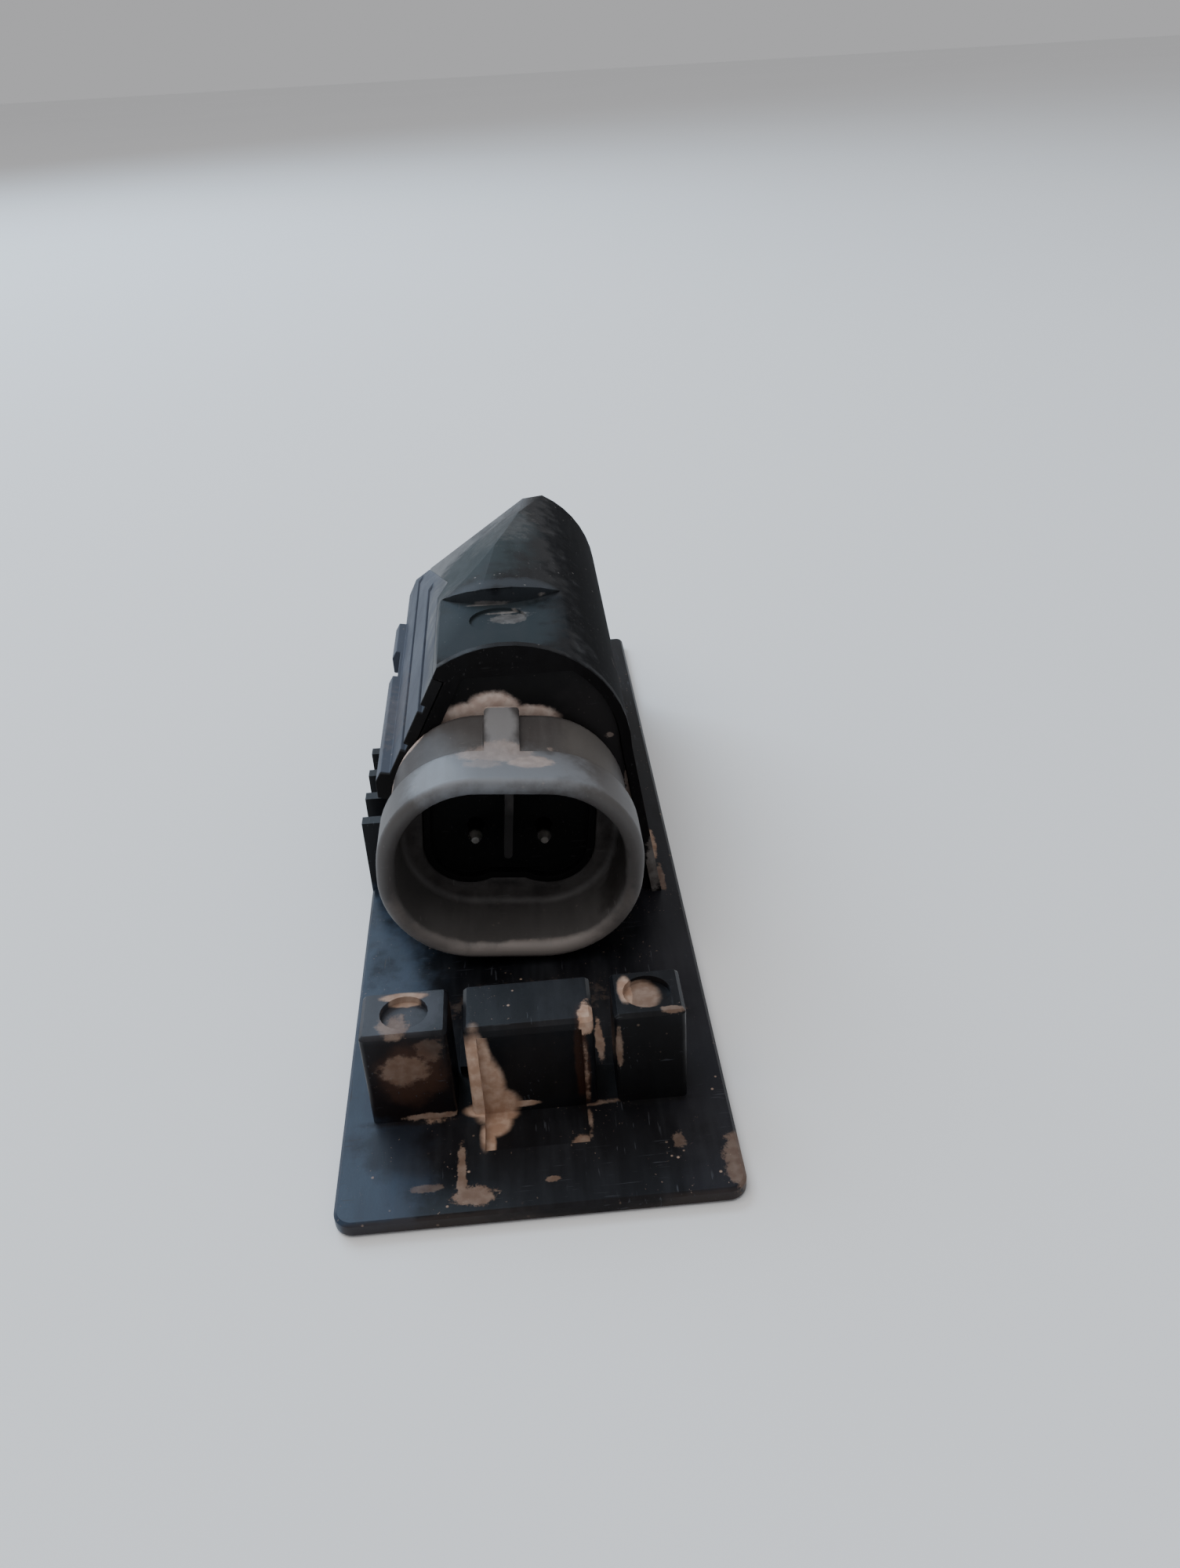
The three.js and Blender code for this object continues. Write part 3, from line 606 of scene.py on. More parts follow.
@dataclass(frozen=True)
class WovenScreen:
    """Fine plastic filter gauze."""

    name: str
    pitch_mm: float = 0.25

    def material(self) -> bpy.types.Material:
        """Weaves the finish.

        Returns:
            The finished material.
        """
        loom = Loom(self.name)
        warp = loom.axis(1) * (2 * math.pi / self.pitch_mm)
        weft = (loom.axis(0) + loom.axis(2)) * (2 * math.pi / self.pitch_mm)
        weave = warp.wave() * weft.wave()
        # weave pattern, bright at thread crossings, with painted shade in the gaps between threads
        colour = loom.mix(weave, (0.20, 0.16, 0.09), (0.56, 0.49, 0.33))
        colour = loom.mix(loom.noise(0.8, 4.0).step(0.5, 0.75) * 0.4, colour, (0.16, 0.11, 0.06))
        normal = loom.bump(weave, 0.7, 0.05 * MM)
        varying = {"Base Color": colour, "Roughness": 0.5 + weave * 0.2, "Normal": normal}
        return loom.surface(varying, {"IOR": 1.5})


# ---------------------------------------------------------------- bench: mesh work
class Bench:
    """Modelling steps shared by every sub-assembly."""

    @staticmethod
    def clear_selection() -> None:
        """Leaves nothing selected and no object in edit mode."""
        if bpy.context.object and bpy.context.object.mode != "OBJECT":
            bpy.ops.object.mode_set(mode="OBJECT")
        bpy.ops.object.select_all(action="DESELECT")

    @staticmethod
    def take(piece: bpy.types.Object) -> None:
        """Makes one object the only selected and active one.

        Args:
            piece: the object.
        """
        Bench.clear_selection()
        piece.select_set(True)
        bpy.context.view_layer.objects.active = piece

    @staticmethod
    def edit(piece: bpy.types.Object, mode: str = "EDGE") -> None:
        """Opens a piece in edit mode with nothing selected.

        Args:
            piece: the object.
            mode: VERT, EDGE or FACE.
        """
        Bench.take(piece)
        bpy.ops.object.mode_set(mode="EDIT")
        bpy.ops.mesh.select_mode(type=mode)
        bpy.ops.mesh.select_all(action="DESELECT")

    @staticmethod
    def pick_faces(piece: bpy.types.Object, wanted: Callable[[bpy.types.MeshPolygon], bool]) -> None:
        """Selects faces by a test, and goes back to edit mode.

        Args:
            piece: the object.
            wanted: the test on each face.
        """
        bpy.ops.object.mode_set(mode="OBJECT")
        for face in piece.data.polygons:
            face.select = wanted(face)
        bpy.ops.object.mode_set(mode="EDIT")

    @staticmethod
    def draw_back(length_mm: float) -> None:
        """Extrudes what is selected away from the plug side.

        Args:
            length_mm: how far.
        """
        bpy.ops.mesh.extrude_region_move(TRANSFORM_OT_translate={"value": (0.0, length_mm * MM, 0.0)})

    @staticmethod
    def finish_edit() -> None:
        """Closes edit mode, with faces turned outward."""
        bpy.ops.mesh.select_all(action="SELECT")
        bpy.ops.mesh.remove_doubles(threshold=0.001 * MM)
        bpy.ops.mesh.normals_make_consistent(inside=False)
        bpy.ops.mesh.select_all(action="DESELECT")
        bpy.ops.object.mode_set(mode="OBJECT")

    @staticmethod
    def apply(piece: bpy.types.Object) -> None:
        """Applies every modifier on a piece.

        Args:
            piece: the object.
        """
        Bench.take(piece)
        for modifier in list(piece.modifiers):
            bpy.ops.object.modifier_apply(modifier=modifier.name)

    @staticmethod
    def soften(piece: bpy.types.Object, width_mm: float, segments: int = 2, angle: float = 30.0) -> None:
        """Rounds a piece's edges and shades it smooth.

        Args:
            piece: the object.
            width_mm: width of the rounding.
            segments: steps across it.
            angle: edges sharper than this, in degrees, are rounded.
        """
        modifier = piece.modifiers.new("rounding", "BEVEL")
        modifier.width = width_mm * MM
        modifier.segments = segments
        modifier.limit_method = "ANGLE"
        modifier.angle_limit = math.radians(angle)
        modifier.use_clamp_overlap = True
        Bench.apply(piece)
        Bench.smooth(piece)

    @staticmethod
    def smooth(piece: bpy.types.Object) -> None:
        """Shades a piece smooth, with its large faces kept flat.

        Args:
            piece: the object.
        """
        Bench.take(piece)
        bpy.ops.object.shade_smooth_by_angle(angle=math.radians(50.0))
        weights = piece.modifiers.new("face_normals", "WEIGHTED_NORMAL")
        weights.keep_sharp = True
        weights.weight = 80
        Bench.apply(piece)

    @staticmethod
    def copy_of(node: str, name: str) -> bpy.types.Object:
        """A merged and cleaned copy of a CAD node, ready for finishing.

        Args:
            node: the CAD node.
            name: the copy's name.

        Returns:
            The copy.
        """
        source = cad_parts[node]
        piece = bpy.data.objects.new(name, source.data.copy())
        bpy.context.scene.collection.objects.link(piece)
        piece.data.materials.clear()
        Bench.edit(piece)
        bpy.ops.mesh.select_all(action="SELECT")
        bpy.ops.mesh.remove_doubles(threshold=0.002 * MM)
        bpy.ops.mesh.dissolve_limited(angle_limit=math.radians(0.4))
        bpy.ops.mesh.select_all(action="DESELECT")
        bpy.ops.object.mode_set(mode="OBJECT")
        return piece

    @staticmethod
    def join_cut(piece: bpy.types.Object, tool: bpy.types.Object, operation: str) -> None:
        """Joins or cuts a piece with a tool, which is used up.

        Args:
            piece: the object.
            tool: the other solid.
            operation: UNION or DIFFERENCE.
        """
        modifier = piece.modifiers.new("tool", "BOOLEAN")
        modifier.operation = operation
        modifier.solver = "EXACT"
        modifier.object = tool
        Bench.apply(piece)
        bpy.data.objects.remove(tool)

    @staticmethod
    def dress(piece: bpy.types.Object, material: bpy.types.Material, slot: str, *nodes: str) -> None:
        """Gives a new piece its finish, its body and the CAD nodes that it stands for.

        Args:
            piece: the object.
            material: its finish.
            slot: not used.
            nodes: the CAD nodes that it replaces.
        """
        piece.data.materials.clear()
        piece.data.materials.append(material)
        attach(piece, BODY)
        if nodes:
            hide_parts(*nodes)
        LOG.info("piece %s: %d faces", piece.name, len(piece.data.polygons))


class Finish(Enum):
    """Names of the finishes, as the record's material slots have them."""

    BLACK = "black_plastic"
    GREY = "grey_plastic"
    INSERT = "dark_insert"
    NATURAL = "natural_plastic"
    BRASS = "tinned_brass"
    ZINC = "zinc_steel"
    POLISHED = "polished_steel"
    COPPER = "copper"
    SCREEN = "filter_mesh"
    RUBBER = "rubber"


PLATE_TOP = 1.6
NEAR_END = -57.2


def spot(x: float, station: float, height: float) -> Triple:
    """A point given by its distance along the plate and its height above the plate, in millimetres."""
    return (x, NEAR_END + station, PLATE_TOP + height)


@dataclass
class Palette:
    """Every finish of the object."""

    plate_dust: tuple[DustPatch, ...] = (
        # left tower: front face, foot, top and dimple
        DustPatch(spot(-11.6, 11.3, 6.4), (2.6, 0.9, 2.2), 0.24, 0.6),
        DustPatch(spot(-9.0, 11.3, 8.6), (1.6, 0.9, 1.6), 0.12),
        DustPatch(spot(-9.6, 11.3, 0.4), (3.4, 1.0, 0.5), 0.52, 0.8),
        DustPatch(spot(-11.4, 16.6, 10.2), (2.9, 0.8, 0.9), 0.62, 0.30),
        DustPatch(spot(-12.0, 13.4, 10.3), (1.9, 2.6, 0.8), 0.26, 0.6),
        # centre pocket: left wall, spill on the rear wall and on the floor, right edge and corner
        DustPatch(spot(-5.0, 11.9, 4.4), (1.7, 1.6, 7.0), 1.0, 0.08),
        DustPatch(spot(-4.5, 12.0, 1.6), (2.3, 1.4, 6.0), 1.0, 0.10),
        DustPatch(spot(-4.1, 12.0, 0.2), (3.2, 1.3, 2.8), 1.0, 0.12),
        DustPatch(spot(-2.2, 12.2, 0.0), (3.4, 0.9, 0.5), 0.9, 0.4),
        DustPatch(spot(-4.5, 11.2, -0.9), (2.6, 2.4, 1.2), 1.0, 0.08),
        DustPatch(spot(-4.8, 8.6, -0.9), (1.1, 3.6, 1.2), 1.0, 0.10),
        DustPatch(spot(4.9, 9.4, 4.6), (0.5, 2.6, 7.0), 0.35, 0.7),
        DustPatch(spot(5.2, 12.0, 10.0), (0.9, 2.4, 1.7), 0.75, 0.8),
        DustPatch(spot(4.2, 7.6, -0.7), (1.5, 1.2, 0.9), 0.45, 0.6),
        DustPatch(spot(2.4, 11.6, 0.0), (6.6, 0.5, 0.3), 0.28, 0.6),
        # between the pocket and the right tower
        DustPatch(spot(6.6, 20.0, 0.0), (0.5, 3.6, 0.6), 0.5, 1.0),
        DustPatch(spot(7.2, 16.0, 6.8), (0.5, 3.0, 3.2), 0.45, 1.0),
        DustPatch(spot(7.9, 11.2, 6.4), (0.6, 0.7, 3.0), 0.34, 1.0),
        # right tower's dimple
        DustPatch(spot(9.9, 14.6, 9.8), (2.7, 3.0, 0.66), 0.42, 0.12),
        DustPatch(spot(9.0, 15.0, 10.1), (1.0, 2.6, 0.9), 0.72, 0.2),
        DustPatch(spot(13.0, 11.9, 10.4), (1.3, 0.5, 0.5), 0.3, 0.8),
        # plate: near edge, corners, right margin
        DustPatch(spot(-6.9, 4.6, 0.0), (0.5, 4.0, 0.5), 0.36, 1.0),
        DustPatch(spot(-5.8, 1.9, 0.0), (2.2, 1.3, 0.6), 0.36, 1.1),
        DustPatch(spot(-10.0, 3.2, 0.0), (1.6, 0.6, 0.5), 0.16, 1.2),
        DustPatch(spot(1.0, 3.0, 0.0), (0.8, 0.4, 0.5), 0.3, 1.3),
        DustPatch(spot(17.6, 3.0, -0.2), (1.6, 4.2, 1.2), 0.26, 1.0),
        DustPatch(spot(12.6, 6.0, 0.0), (0.7, 1.2, 0.5), 0.20, 1.3),
        DustPatch(spot(15.7, 53.9, 0.0), (0.8, 4.0, 0.8), 0.66, 0.8),
        DustPatch(spot(16.1, 46.9, 0.0), (0.5, 3.0, 0.8), 0.30, 1.0),
        DustPatch(spot(14.6, 101.0, 0.0), (1.6, 9.0, 0.8), 0.16, 1.4),
        DustPatch(spot(-6.0, 109.0, 0.0), (9.0, 4.0, 0.8), 0.13, 1.5),
        DustPatch(spot(13.4, 24.5, 0.0), (2.6, 3.0, 0.6), 0.14, 1.2),
        DustPatch(spot(-0.5, 26.5, 0.0), (9.0, 3.4, 0.6), 0.06, 1.4),
    )
    plate_sheen_shade_and_stains: tuple[Tint, ...] = (
        # painted reflection: blue sky sheen on the plate's left third
        Tint(spot(-17.4, 15.0, 0.0), (9.4, 42.0, 2.6), (0.034, 0.050, 0.078), 0.80, 0.06),
        # painted light: sky-lit top of the left tower
        Tint(spot(-11.8, 15.0, 11.0), (6.0, 7.0, 2.0), (0.062, 0.064, 0.075), 0.6, 0.06),
        # lighter band along the plate's right margin
        Tint(spot(15.8, 22.0, 0.0), (5.0, 50.0, 1.6), (0.016, 0.015, 0.020), 0.6, 0.06),
        # painted shade on the left tower's front face
        Tint(spot(-11.3, 11.3, 4.5), (6.4, 0.9, 9.0), (0.0072, 0.0042, 0.0042), 1.0, 0.15),
        # brown soil stain on the left tower's front face
        Tint(spot(-10.8, 11.3, 5.8), (4.0, 0.9, 4.6), (0.048, 0.021, 0.012), 0.75, 0.10),
        # painted shadow on the plate in front of the left tower
        Tint(spot(-11.3, 8.4, 0.0), (6.5, 4.6, 1.0), (0.0085, 0.0075, 0.0090), 0.7, 0.10),
        # painted shade on the centre tower's front face
        Tint(spot(0.0, 11.6, 2.6), (5.6, 1.6, 9.6), (0.0060, 0.0045, 0.0045), 1.0, 0.2),
        # painted shade on the pocket floor in front of the centre tower
        Tint(spot(0.0, 9.0, -0.9), (5.4, 5.0, 0.8), (0.0050, 0.0040, 0.0040), 1.0, 0.2),
        # brown soil stain on the pocket's right wall
        Tint(spot(4.6, 12.0, 4.0), (0.8, 3.0, 9.0), (0.034, 0.013, 0.007), 0.9, 0.15),
        # brown soil along the plate's near edge
        Tint(spot(0.0, 0.0, -0.8), (40.0, 0.5, 1.4), (0.030, 0.022, 0.019), 0.7, 0.1),
        # the next two: painted shade, darker and rougher, dimming the sky reflection over the plate's
        # middle and right
        Tint(spot(4.0, 6.0, -0.4), (13.0, 11.0, 1.6), (0.0034, 0.0030, 0.0042), 0.9, 0.30),
        Tint(spot(5.0, 25.0, 0.0), (13.0, 9.0, 1.4), (0.0034, 0.0030, 0.0042), 0.7, 0.22),
        # painted shade on the right tower's front face
        Tint(spot(10.95, 11.3, 4.5), (5.6, 0.9, 9.0), (0.0034, 0.0030, 0.0034), 1.0, 0.30),
        # darker and rougher low on the left side, beside the fins
        Tint(spot(-15.8, 34.0, 9.0), (3.6, 9.0, 12.0), (0.0040, 0.0036, 0.0042), 0.8, 0.25),
    )
    strip_dust: tuple[DustPatch, ...] = (
        DustPatch(spot(-17.0, 68.0, 1.2), (2.4, 24.0, 2.4), 0.30, 1.1),
        DustPatch(spot(-14.0, 57.0, 21.0), (3.4, 11.0, 4.0), 0.16, 1.3),
        DustPatch(spot(-16.0, 84.0, 11.0), (3.0, 9.0, 6.0), 0.14, 1.3),
    )
    arch_dust: tuple[DustPatch, ...] = (
        DustPatch(spot(0.3, 57.9, 30.3), (2.4, 0.45, 0.5), 0.5, 0.7),
        DustPatch(spot(2.4, 61.0, 30.8), (3.0, 0.5, 0.5), 0.55, 0.6),
        DustPatch(spot(0.8, 56.2, 30.3), (2.9, 1.6, 0.5), 0.32, 1.0),
        DustPatch(spot(15.0, 44.2, 3.8), (1.1, 1.3, 5.2), 0.50, 0.9),
        DustPatch(spot(0.0, 84.0, 31.0), (5.0, 11.0, 4.0), 0.12, 1.3),
        DustPatch(spot(-1.6, 59.8, 30.6), (3.0, 0.4, 0.4), 0.3, 0.8),
        DustPatch(spot(15.6, 64.0, 1.0), (1.2, 26.0, 3.0), 0.14, 1.3),
        DustPatch(spot(12.6, 56.0, 24.0), (0.6, 1.2, 1.0), 0.2, 1.3),
    )
    arch_sheen_shade_and_stains: tuple[Tint, ...] = (
        # painted reflection: greenish sky sheen on the tail facet
        Tint(spot(-5.0, 78.0, 32.0), (11.4, 20.0, 7.5), (0.030, 0.039, 0.041), 1.0, 0.25),
        # painted highlight on the tail facet
        Tint(spot(1.8, 80.0, 32.0), (3.6, 7.0, 3.0), (0.055, 0.060, 0.062), 0.55, 0.2),
        # painted reflection: greenish sky sheen on the flat pad
        Tint(spot(-1.4, 54.0, 30.4), (10.4, 13.0, 0.6), (0.024, 0.032, 0.037), 1.0, 0.2),
        # painted light on the shadowed face of the lens-shaped step
        Tint(spot(1.0, 61.2, 31.4), (11.0, 2.4, 1.7), (0.040, 0.046, 0.054), 0.8, 0.1),
        # painted shade, darker and rougher, on the arch's right side
        Tint(spot(12.0, 74.0, 22.0), (9.0, 70.0, 16.0), (0.0030, 0.0028, 0.0034), 1.0, 0.5),
        # brownish band along the arch's right side
        Tint(spot(14.6, 70.0, 12.0), (1.6, 60.0, 16.0), (0.022, 0.0145, 0.0110), 0.7, 0.2),
        # painted shade on the arch's front end face
        Tint(spot(0.0, 43.8, 14.0), (30.0, 0.75, 34.0), (0.0050, 0.0045, 0.0048), 1.0, 0.25),
        # painted highlight along the collar's right edge
        Tint(spot(11.6, 44.9, 22.0), (6.0, 0.7, 13.0), (0.050, 0.050, 0.052), 0.8, 0.1),
    )
    strip_sheen_and_shade: tuple[Tint, ...] = (
        # painted reflection: blue sky sheen along the side strip
        Tint(spot(-14.0, 66.0, 19.0), (9.0, 80.0, 22.0), (0.058, 0.068, 0.092), 0.9, 0.2),
        # painted shade on the front end face
        Tint(spot(-14.0, 43.8, 14.0), (30.0, 0.75, 34.0), (0.0050, 0.0045, 0.0048), 1.0, 0.25),
    )
    end_dust: tuple[DustPatch, ...] = (
        DustPatch(spot(-1.6, 44.6, 24.5), (3.6, 1.6, 3.0), 1.0, 0.18),
        DustPatch(spot(-3.4, 44.6, 23.9), (5.4, 1.6, 2.5), 1.0, 0.18),
        DustPatch(spot(-7.0, 44.6, 23.0), (4.4, 1.6, 2.0), 1.0, 0.20),
        DustPatch(spot(1.6, 44.6, 23.4), (4.6, 1.6, 2.1), 0.9, 0.20),
        DustPatch(spot(-12.6, 44.6, 17.0), (1.6, 1.4, 5.4), 0.55),
        DustPatch(spot(10.8, 44.6, 20.8), (0.6, 1.4, 0.4), 0.22, 1.3),
        DustPatch(spot(12.6, 44.6, 15.0), (0.5, 1.4, 4.0), 0.3, 1.3),
    )
    end_tints: tuple[Tint, ...] = (
        Tint(spot(9.0, 44.6, 18.0), (7.0, 2.0, 12.0), (0.017, 0.015, 0.0155), 0.8, 0.05),
    )
    shroud_dust: tuple[DustPatch, ...] = (
        DustPatch(spot(-4.6, 43.9, 25.6), (7.0, 0.6, 0.8), 0.9, 0.5),
        DustPatch(spot(-10.8, 43.6, 21.8), (3.0, 0.9, 2.8), 0.85, 0.5),
        DustPatch(spot(-13.6, 42.8, 14.0), (1.5, 2.2, 6.0), 0.6, 0.8),
        DustPatch(spot(-1.6, 38.0, 23.4), (4.8, 2.2, 1.3), 0.40, 0.5),
        DustPatch(spot(2.2, 36.2, 23.2), (3.0, 1.4, 0.9), 0.50, 0.5),
        DustPatch(spot(-3.0, 35.8, 23.2), (2.6, 1.2, 0.8), 0.22, 0.7),
        DustPatch(spot(5.4, 39.2, 23.2), (3.2, 0.6, 0.9), 0.34, 0.9),
    )
    shroud_light_and_shade: tuple[Tint, ...] = (
        # painted shade over the rear block
        Tint(spot(-0.9, 42.6, 15.0), (17.0, 5.4, 15.0), (0.050, 0.043, 0.041), 1.0, 0.05),
        # lighter patch at the block's right top
        Tint(spot(9.5, 41.5, 22.0), (5.5, 4.4, 5.0), (0.105, 0.096, 0.088), 0.8),
        # painted light on the top of the key rib
        Tint(spot(-0.85, 40.6, 25.2), (2.3, 6.4, 2.9), (0.225, 0.220, 0.222), 1.0, -0.05),
        # painted sky light on the band's top
        Tint(spot(-1.6, 35.4, 23.4), (15.0, 4.8, 4.4), (0.190, 0.200, 0.216), 0.9, -0.02),
        # painted light on the mouth rim's front face
        Tint(spot(-0.9, 32.0, 2.0), (19.0, 1.5, 15.0), (0.165, 0.144, 0.132), 0.9, 0.04),
        # painted light, brightest, on the bottom of the mouth rim
        Tint(spot(0.0, 32.2, 0.8), (15.0, 1.6, 4.2), (0.27, 0.235, 0.215), 0.85, 0.06),
        # painted shade inside the pocket
        Tint(spot(-0.9, 39.0, 11.0), (12.0, 4.6, 8.6), (0.018, 0.0165, 0.0165), 1.0, 0.05),
        # painted shade in the pocket's right side
        Tint(spot(9.6, 36.0, 11.0), (3.4, 4.6, 8.0), (0.010, 0.0070, 0.0060), 0.85, 0.05),
    )

    def weave(self) -> dict[Finish, bpy.types.Material]:
        """All finishes as materials.

        Returns:
            Finish to material.
        """
        black = Moulding(
            "black_plastic", (0.0036, 0.0038, 0.0050), (0.0080, 0.0082, 0.0100), 0.31, 0.6,
            film_colour=(0.046, 0.048, 0.055), scuffs=0.8, patches=self.plate_dust, sheen_shade_and_stains=self.plate_sheen_shade_and_stains,
            rings=((spot(-14.2, 26.6, 0.0), 1.9),),
        )
        grey = Moulding(
            "grey_plastic", (0.066, 0.061, 0.059), (0.082, 0.076, 0.073), 0.46, 0.45,
            film_colour=(0.16, 0.15, 0.145), dust=(0.42, 0.32, 0.27), dust_light=(0.58, 0.46, 0.40),
            grain=0.3, specks=0.3, ior=1.4, patches=self.shroud_dust, sheen_shade_and_stains=self.shroud_light_and_shade,
        )
        insert = Moulding(
            "dark_insert", (0.0022, 0.0020, 0.0022), (0.0045, 0.0042, 0.0042), 0.55, 0.2, specks=0.2
        )
        natural = Moulding("natural_plastic", (0.035, 0.028, 0.022), (0.06, 0.05, 0.04), 0.45, 0.5)
        zinc = TurnedMetal("zinc_steel", (0.50, 0.51, 0.52), (0.34, 0.33, 0.31), 0.34)
        polished = TurnedMetal("polished_steel", (0.46, 0.47, 0.48), (0.26, 0.26, 0.255), 0.3, 0.6)
        finishes = {
            Finish.BLACK: black,
            Finish.GREY: grey,
            Finish.INSERT: insert,
            Finish.NATURAL: natural,
            Finish.BRASS: PinMetal("tinned_brass"),
            Finish.ZINC: zinc,
            Finish.POLISHED: polished,
            Finish.COPPER: WoundWire("copper"),
            Finish.SCREEN: WovenScreen("filter_mesh"),
            Finish.RUBBER: MouldedRubber("rubber"),
        }
        return {key: value.material() for key, value in finishes.items()}

    def arch(self) -> bpy.types.Material:
        """Black plastic of the arch, with its own dust, painted sky sheen and highlights, and painted
        shade.
        """
        return Moulding(
            "black_plastic_arch", (0.0040, 0.0042, 0.0052), (0.0080, 0.0082, 0.0098), 0.30, 0.5,
            dust=(0.19, 0.165, 0.150), dust_light=(0.34, 0.31, 0.29), ior=1.16,
            patches=self.arch_dust, sheen_shade_and_stains=self.arch_sheen_shade_and_stains,
        ).material()

    def strip(self) -> bpy.types.Material:
        """Black plastic of the side strip, dulled and painted with a blue sky sheen along its ribs, with
        painted shade on its front end.
        """
        return Moulding(
            "black_plastic_strip", (0.0060, 0.0065, 0.0080), (0.0110, 0.0120, 0.0150), 0.34, 0.7,
            dust=(0.17, 0.13, 0.11), dust_light=(0.28, 0.23, 0.20),
            patches=self.strip_dust, sheen_shade_and_stains=self.strip_sheen_and_shade,
        ).material()

    def end_wall(self) -> bpy.types.Material:
        """Black plastic of the front end face, with soil heaped over the plug."""
        return Moulding(
            "black_plastic_end", (0.0060, 0.0058, 0.0060), (0.0105, 0.0098, 0.0095), 0.42, 0.4,
            dust=(0.60, 0.45, 0.38), dust_light=(0.78, 0.64, 0.56), specks=0.8, ior=1.2,
            patches=self.end_dust, sheen_shade_and_stains=self.end_tints,
        ).material()


# ---------------------------------------------------------------- sub-assemblies
@dataclass
class MountingPlate:
    """Long plate with its towers, fins and saddles."""

    edge_mm: float = 0.28

    def build(self, finishes: dict[Finish, bpy.types.Material]) -> None:
        """Rounds the plate's edges and dresses it.

        Args:
            finishes: the palette.
        """
        piece = Bench.copy_of("mounting_plate", "plate_moulding")
        Bench.soften(piece, self.edge_mm, 2, 40.0)
        Bench.dress(piece, finishes[Finish.BLACK], "black_plastic", "mounting_plate")


@dataclass
class Housing:
    """Arch housing, side cover and both bulkheads."""

    edge_mm: float = 0.35
    cover_edge_mm: float = 0.22
    wall_edge_mm: float = 0.2

    def build(self, palette: Palette) -> None:
        """Rounds the mouldings' edges and dresses them.

        Args:
            palette: the finishes.
        """
        skin = palette.arch()
        strip = palette.strip()
        end = palette.end_wall()
        for node, name, width, material in (
            ("body_housing", "arch_moulding", self.edge_mm, skin),
            ("side_cover", "side_strip", self.cover_edge_mm, strip),
            ("front_bulkhead", "front_end_face", self.wall_edge_mm, end),
            ("rear_bulkhead", "rear_end_wall", self.wall_edge_mm, end),
        ):
            piece = Bench.copy_of(node, name)
            Bench.soften(piece, width, 2, 35.0)
            Bench.dress(piece, material, "black_plastic", node)


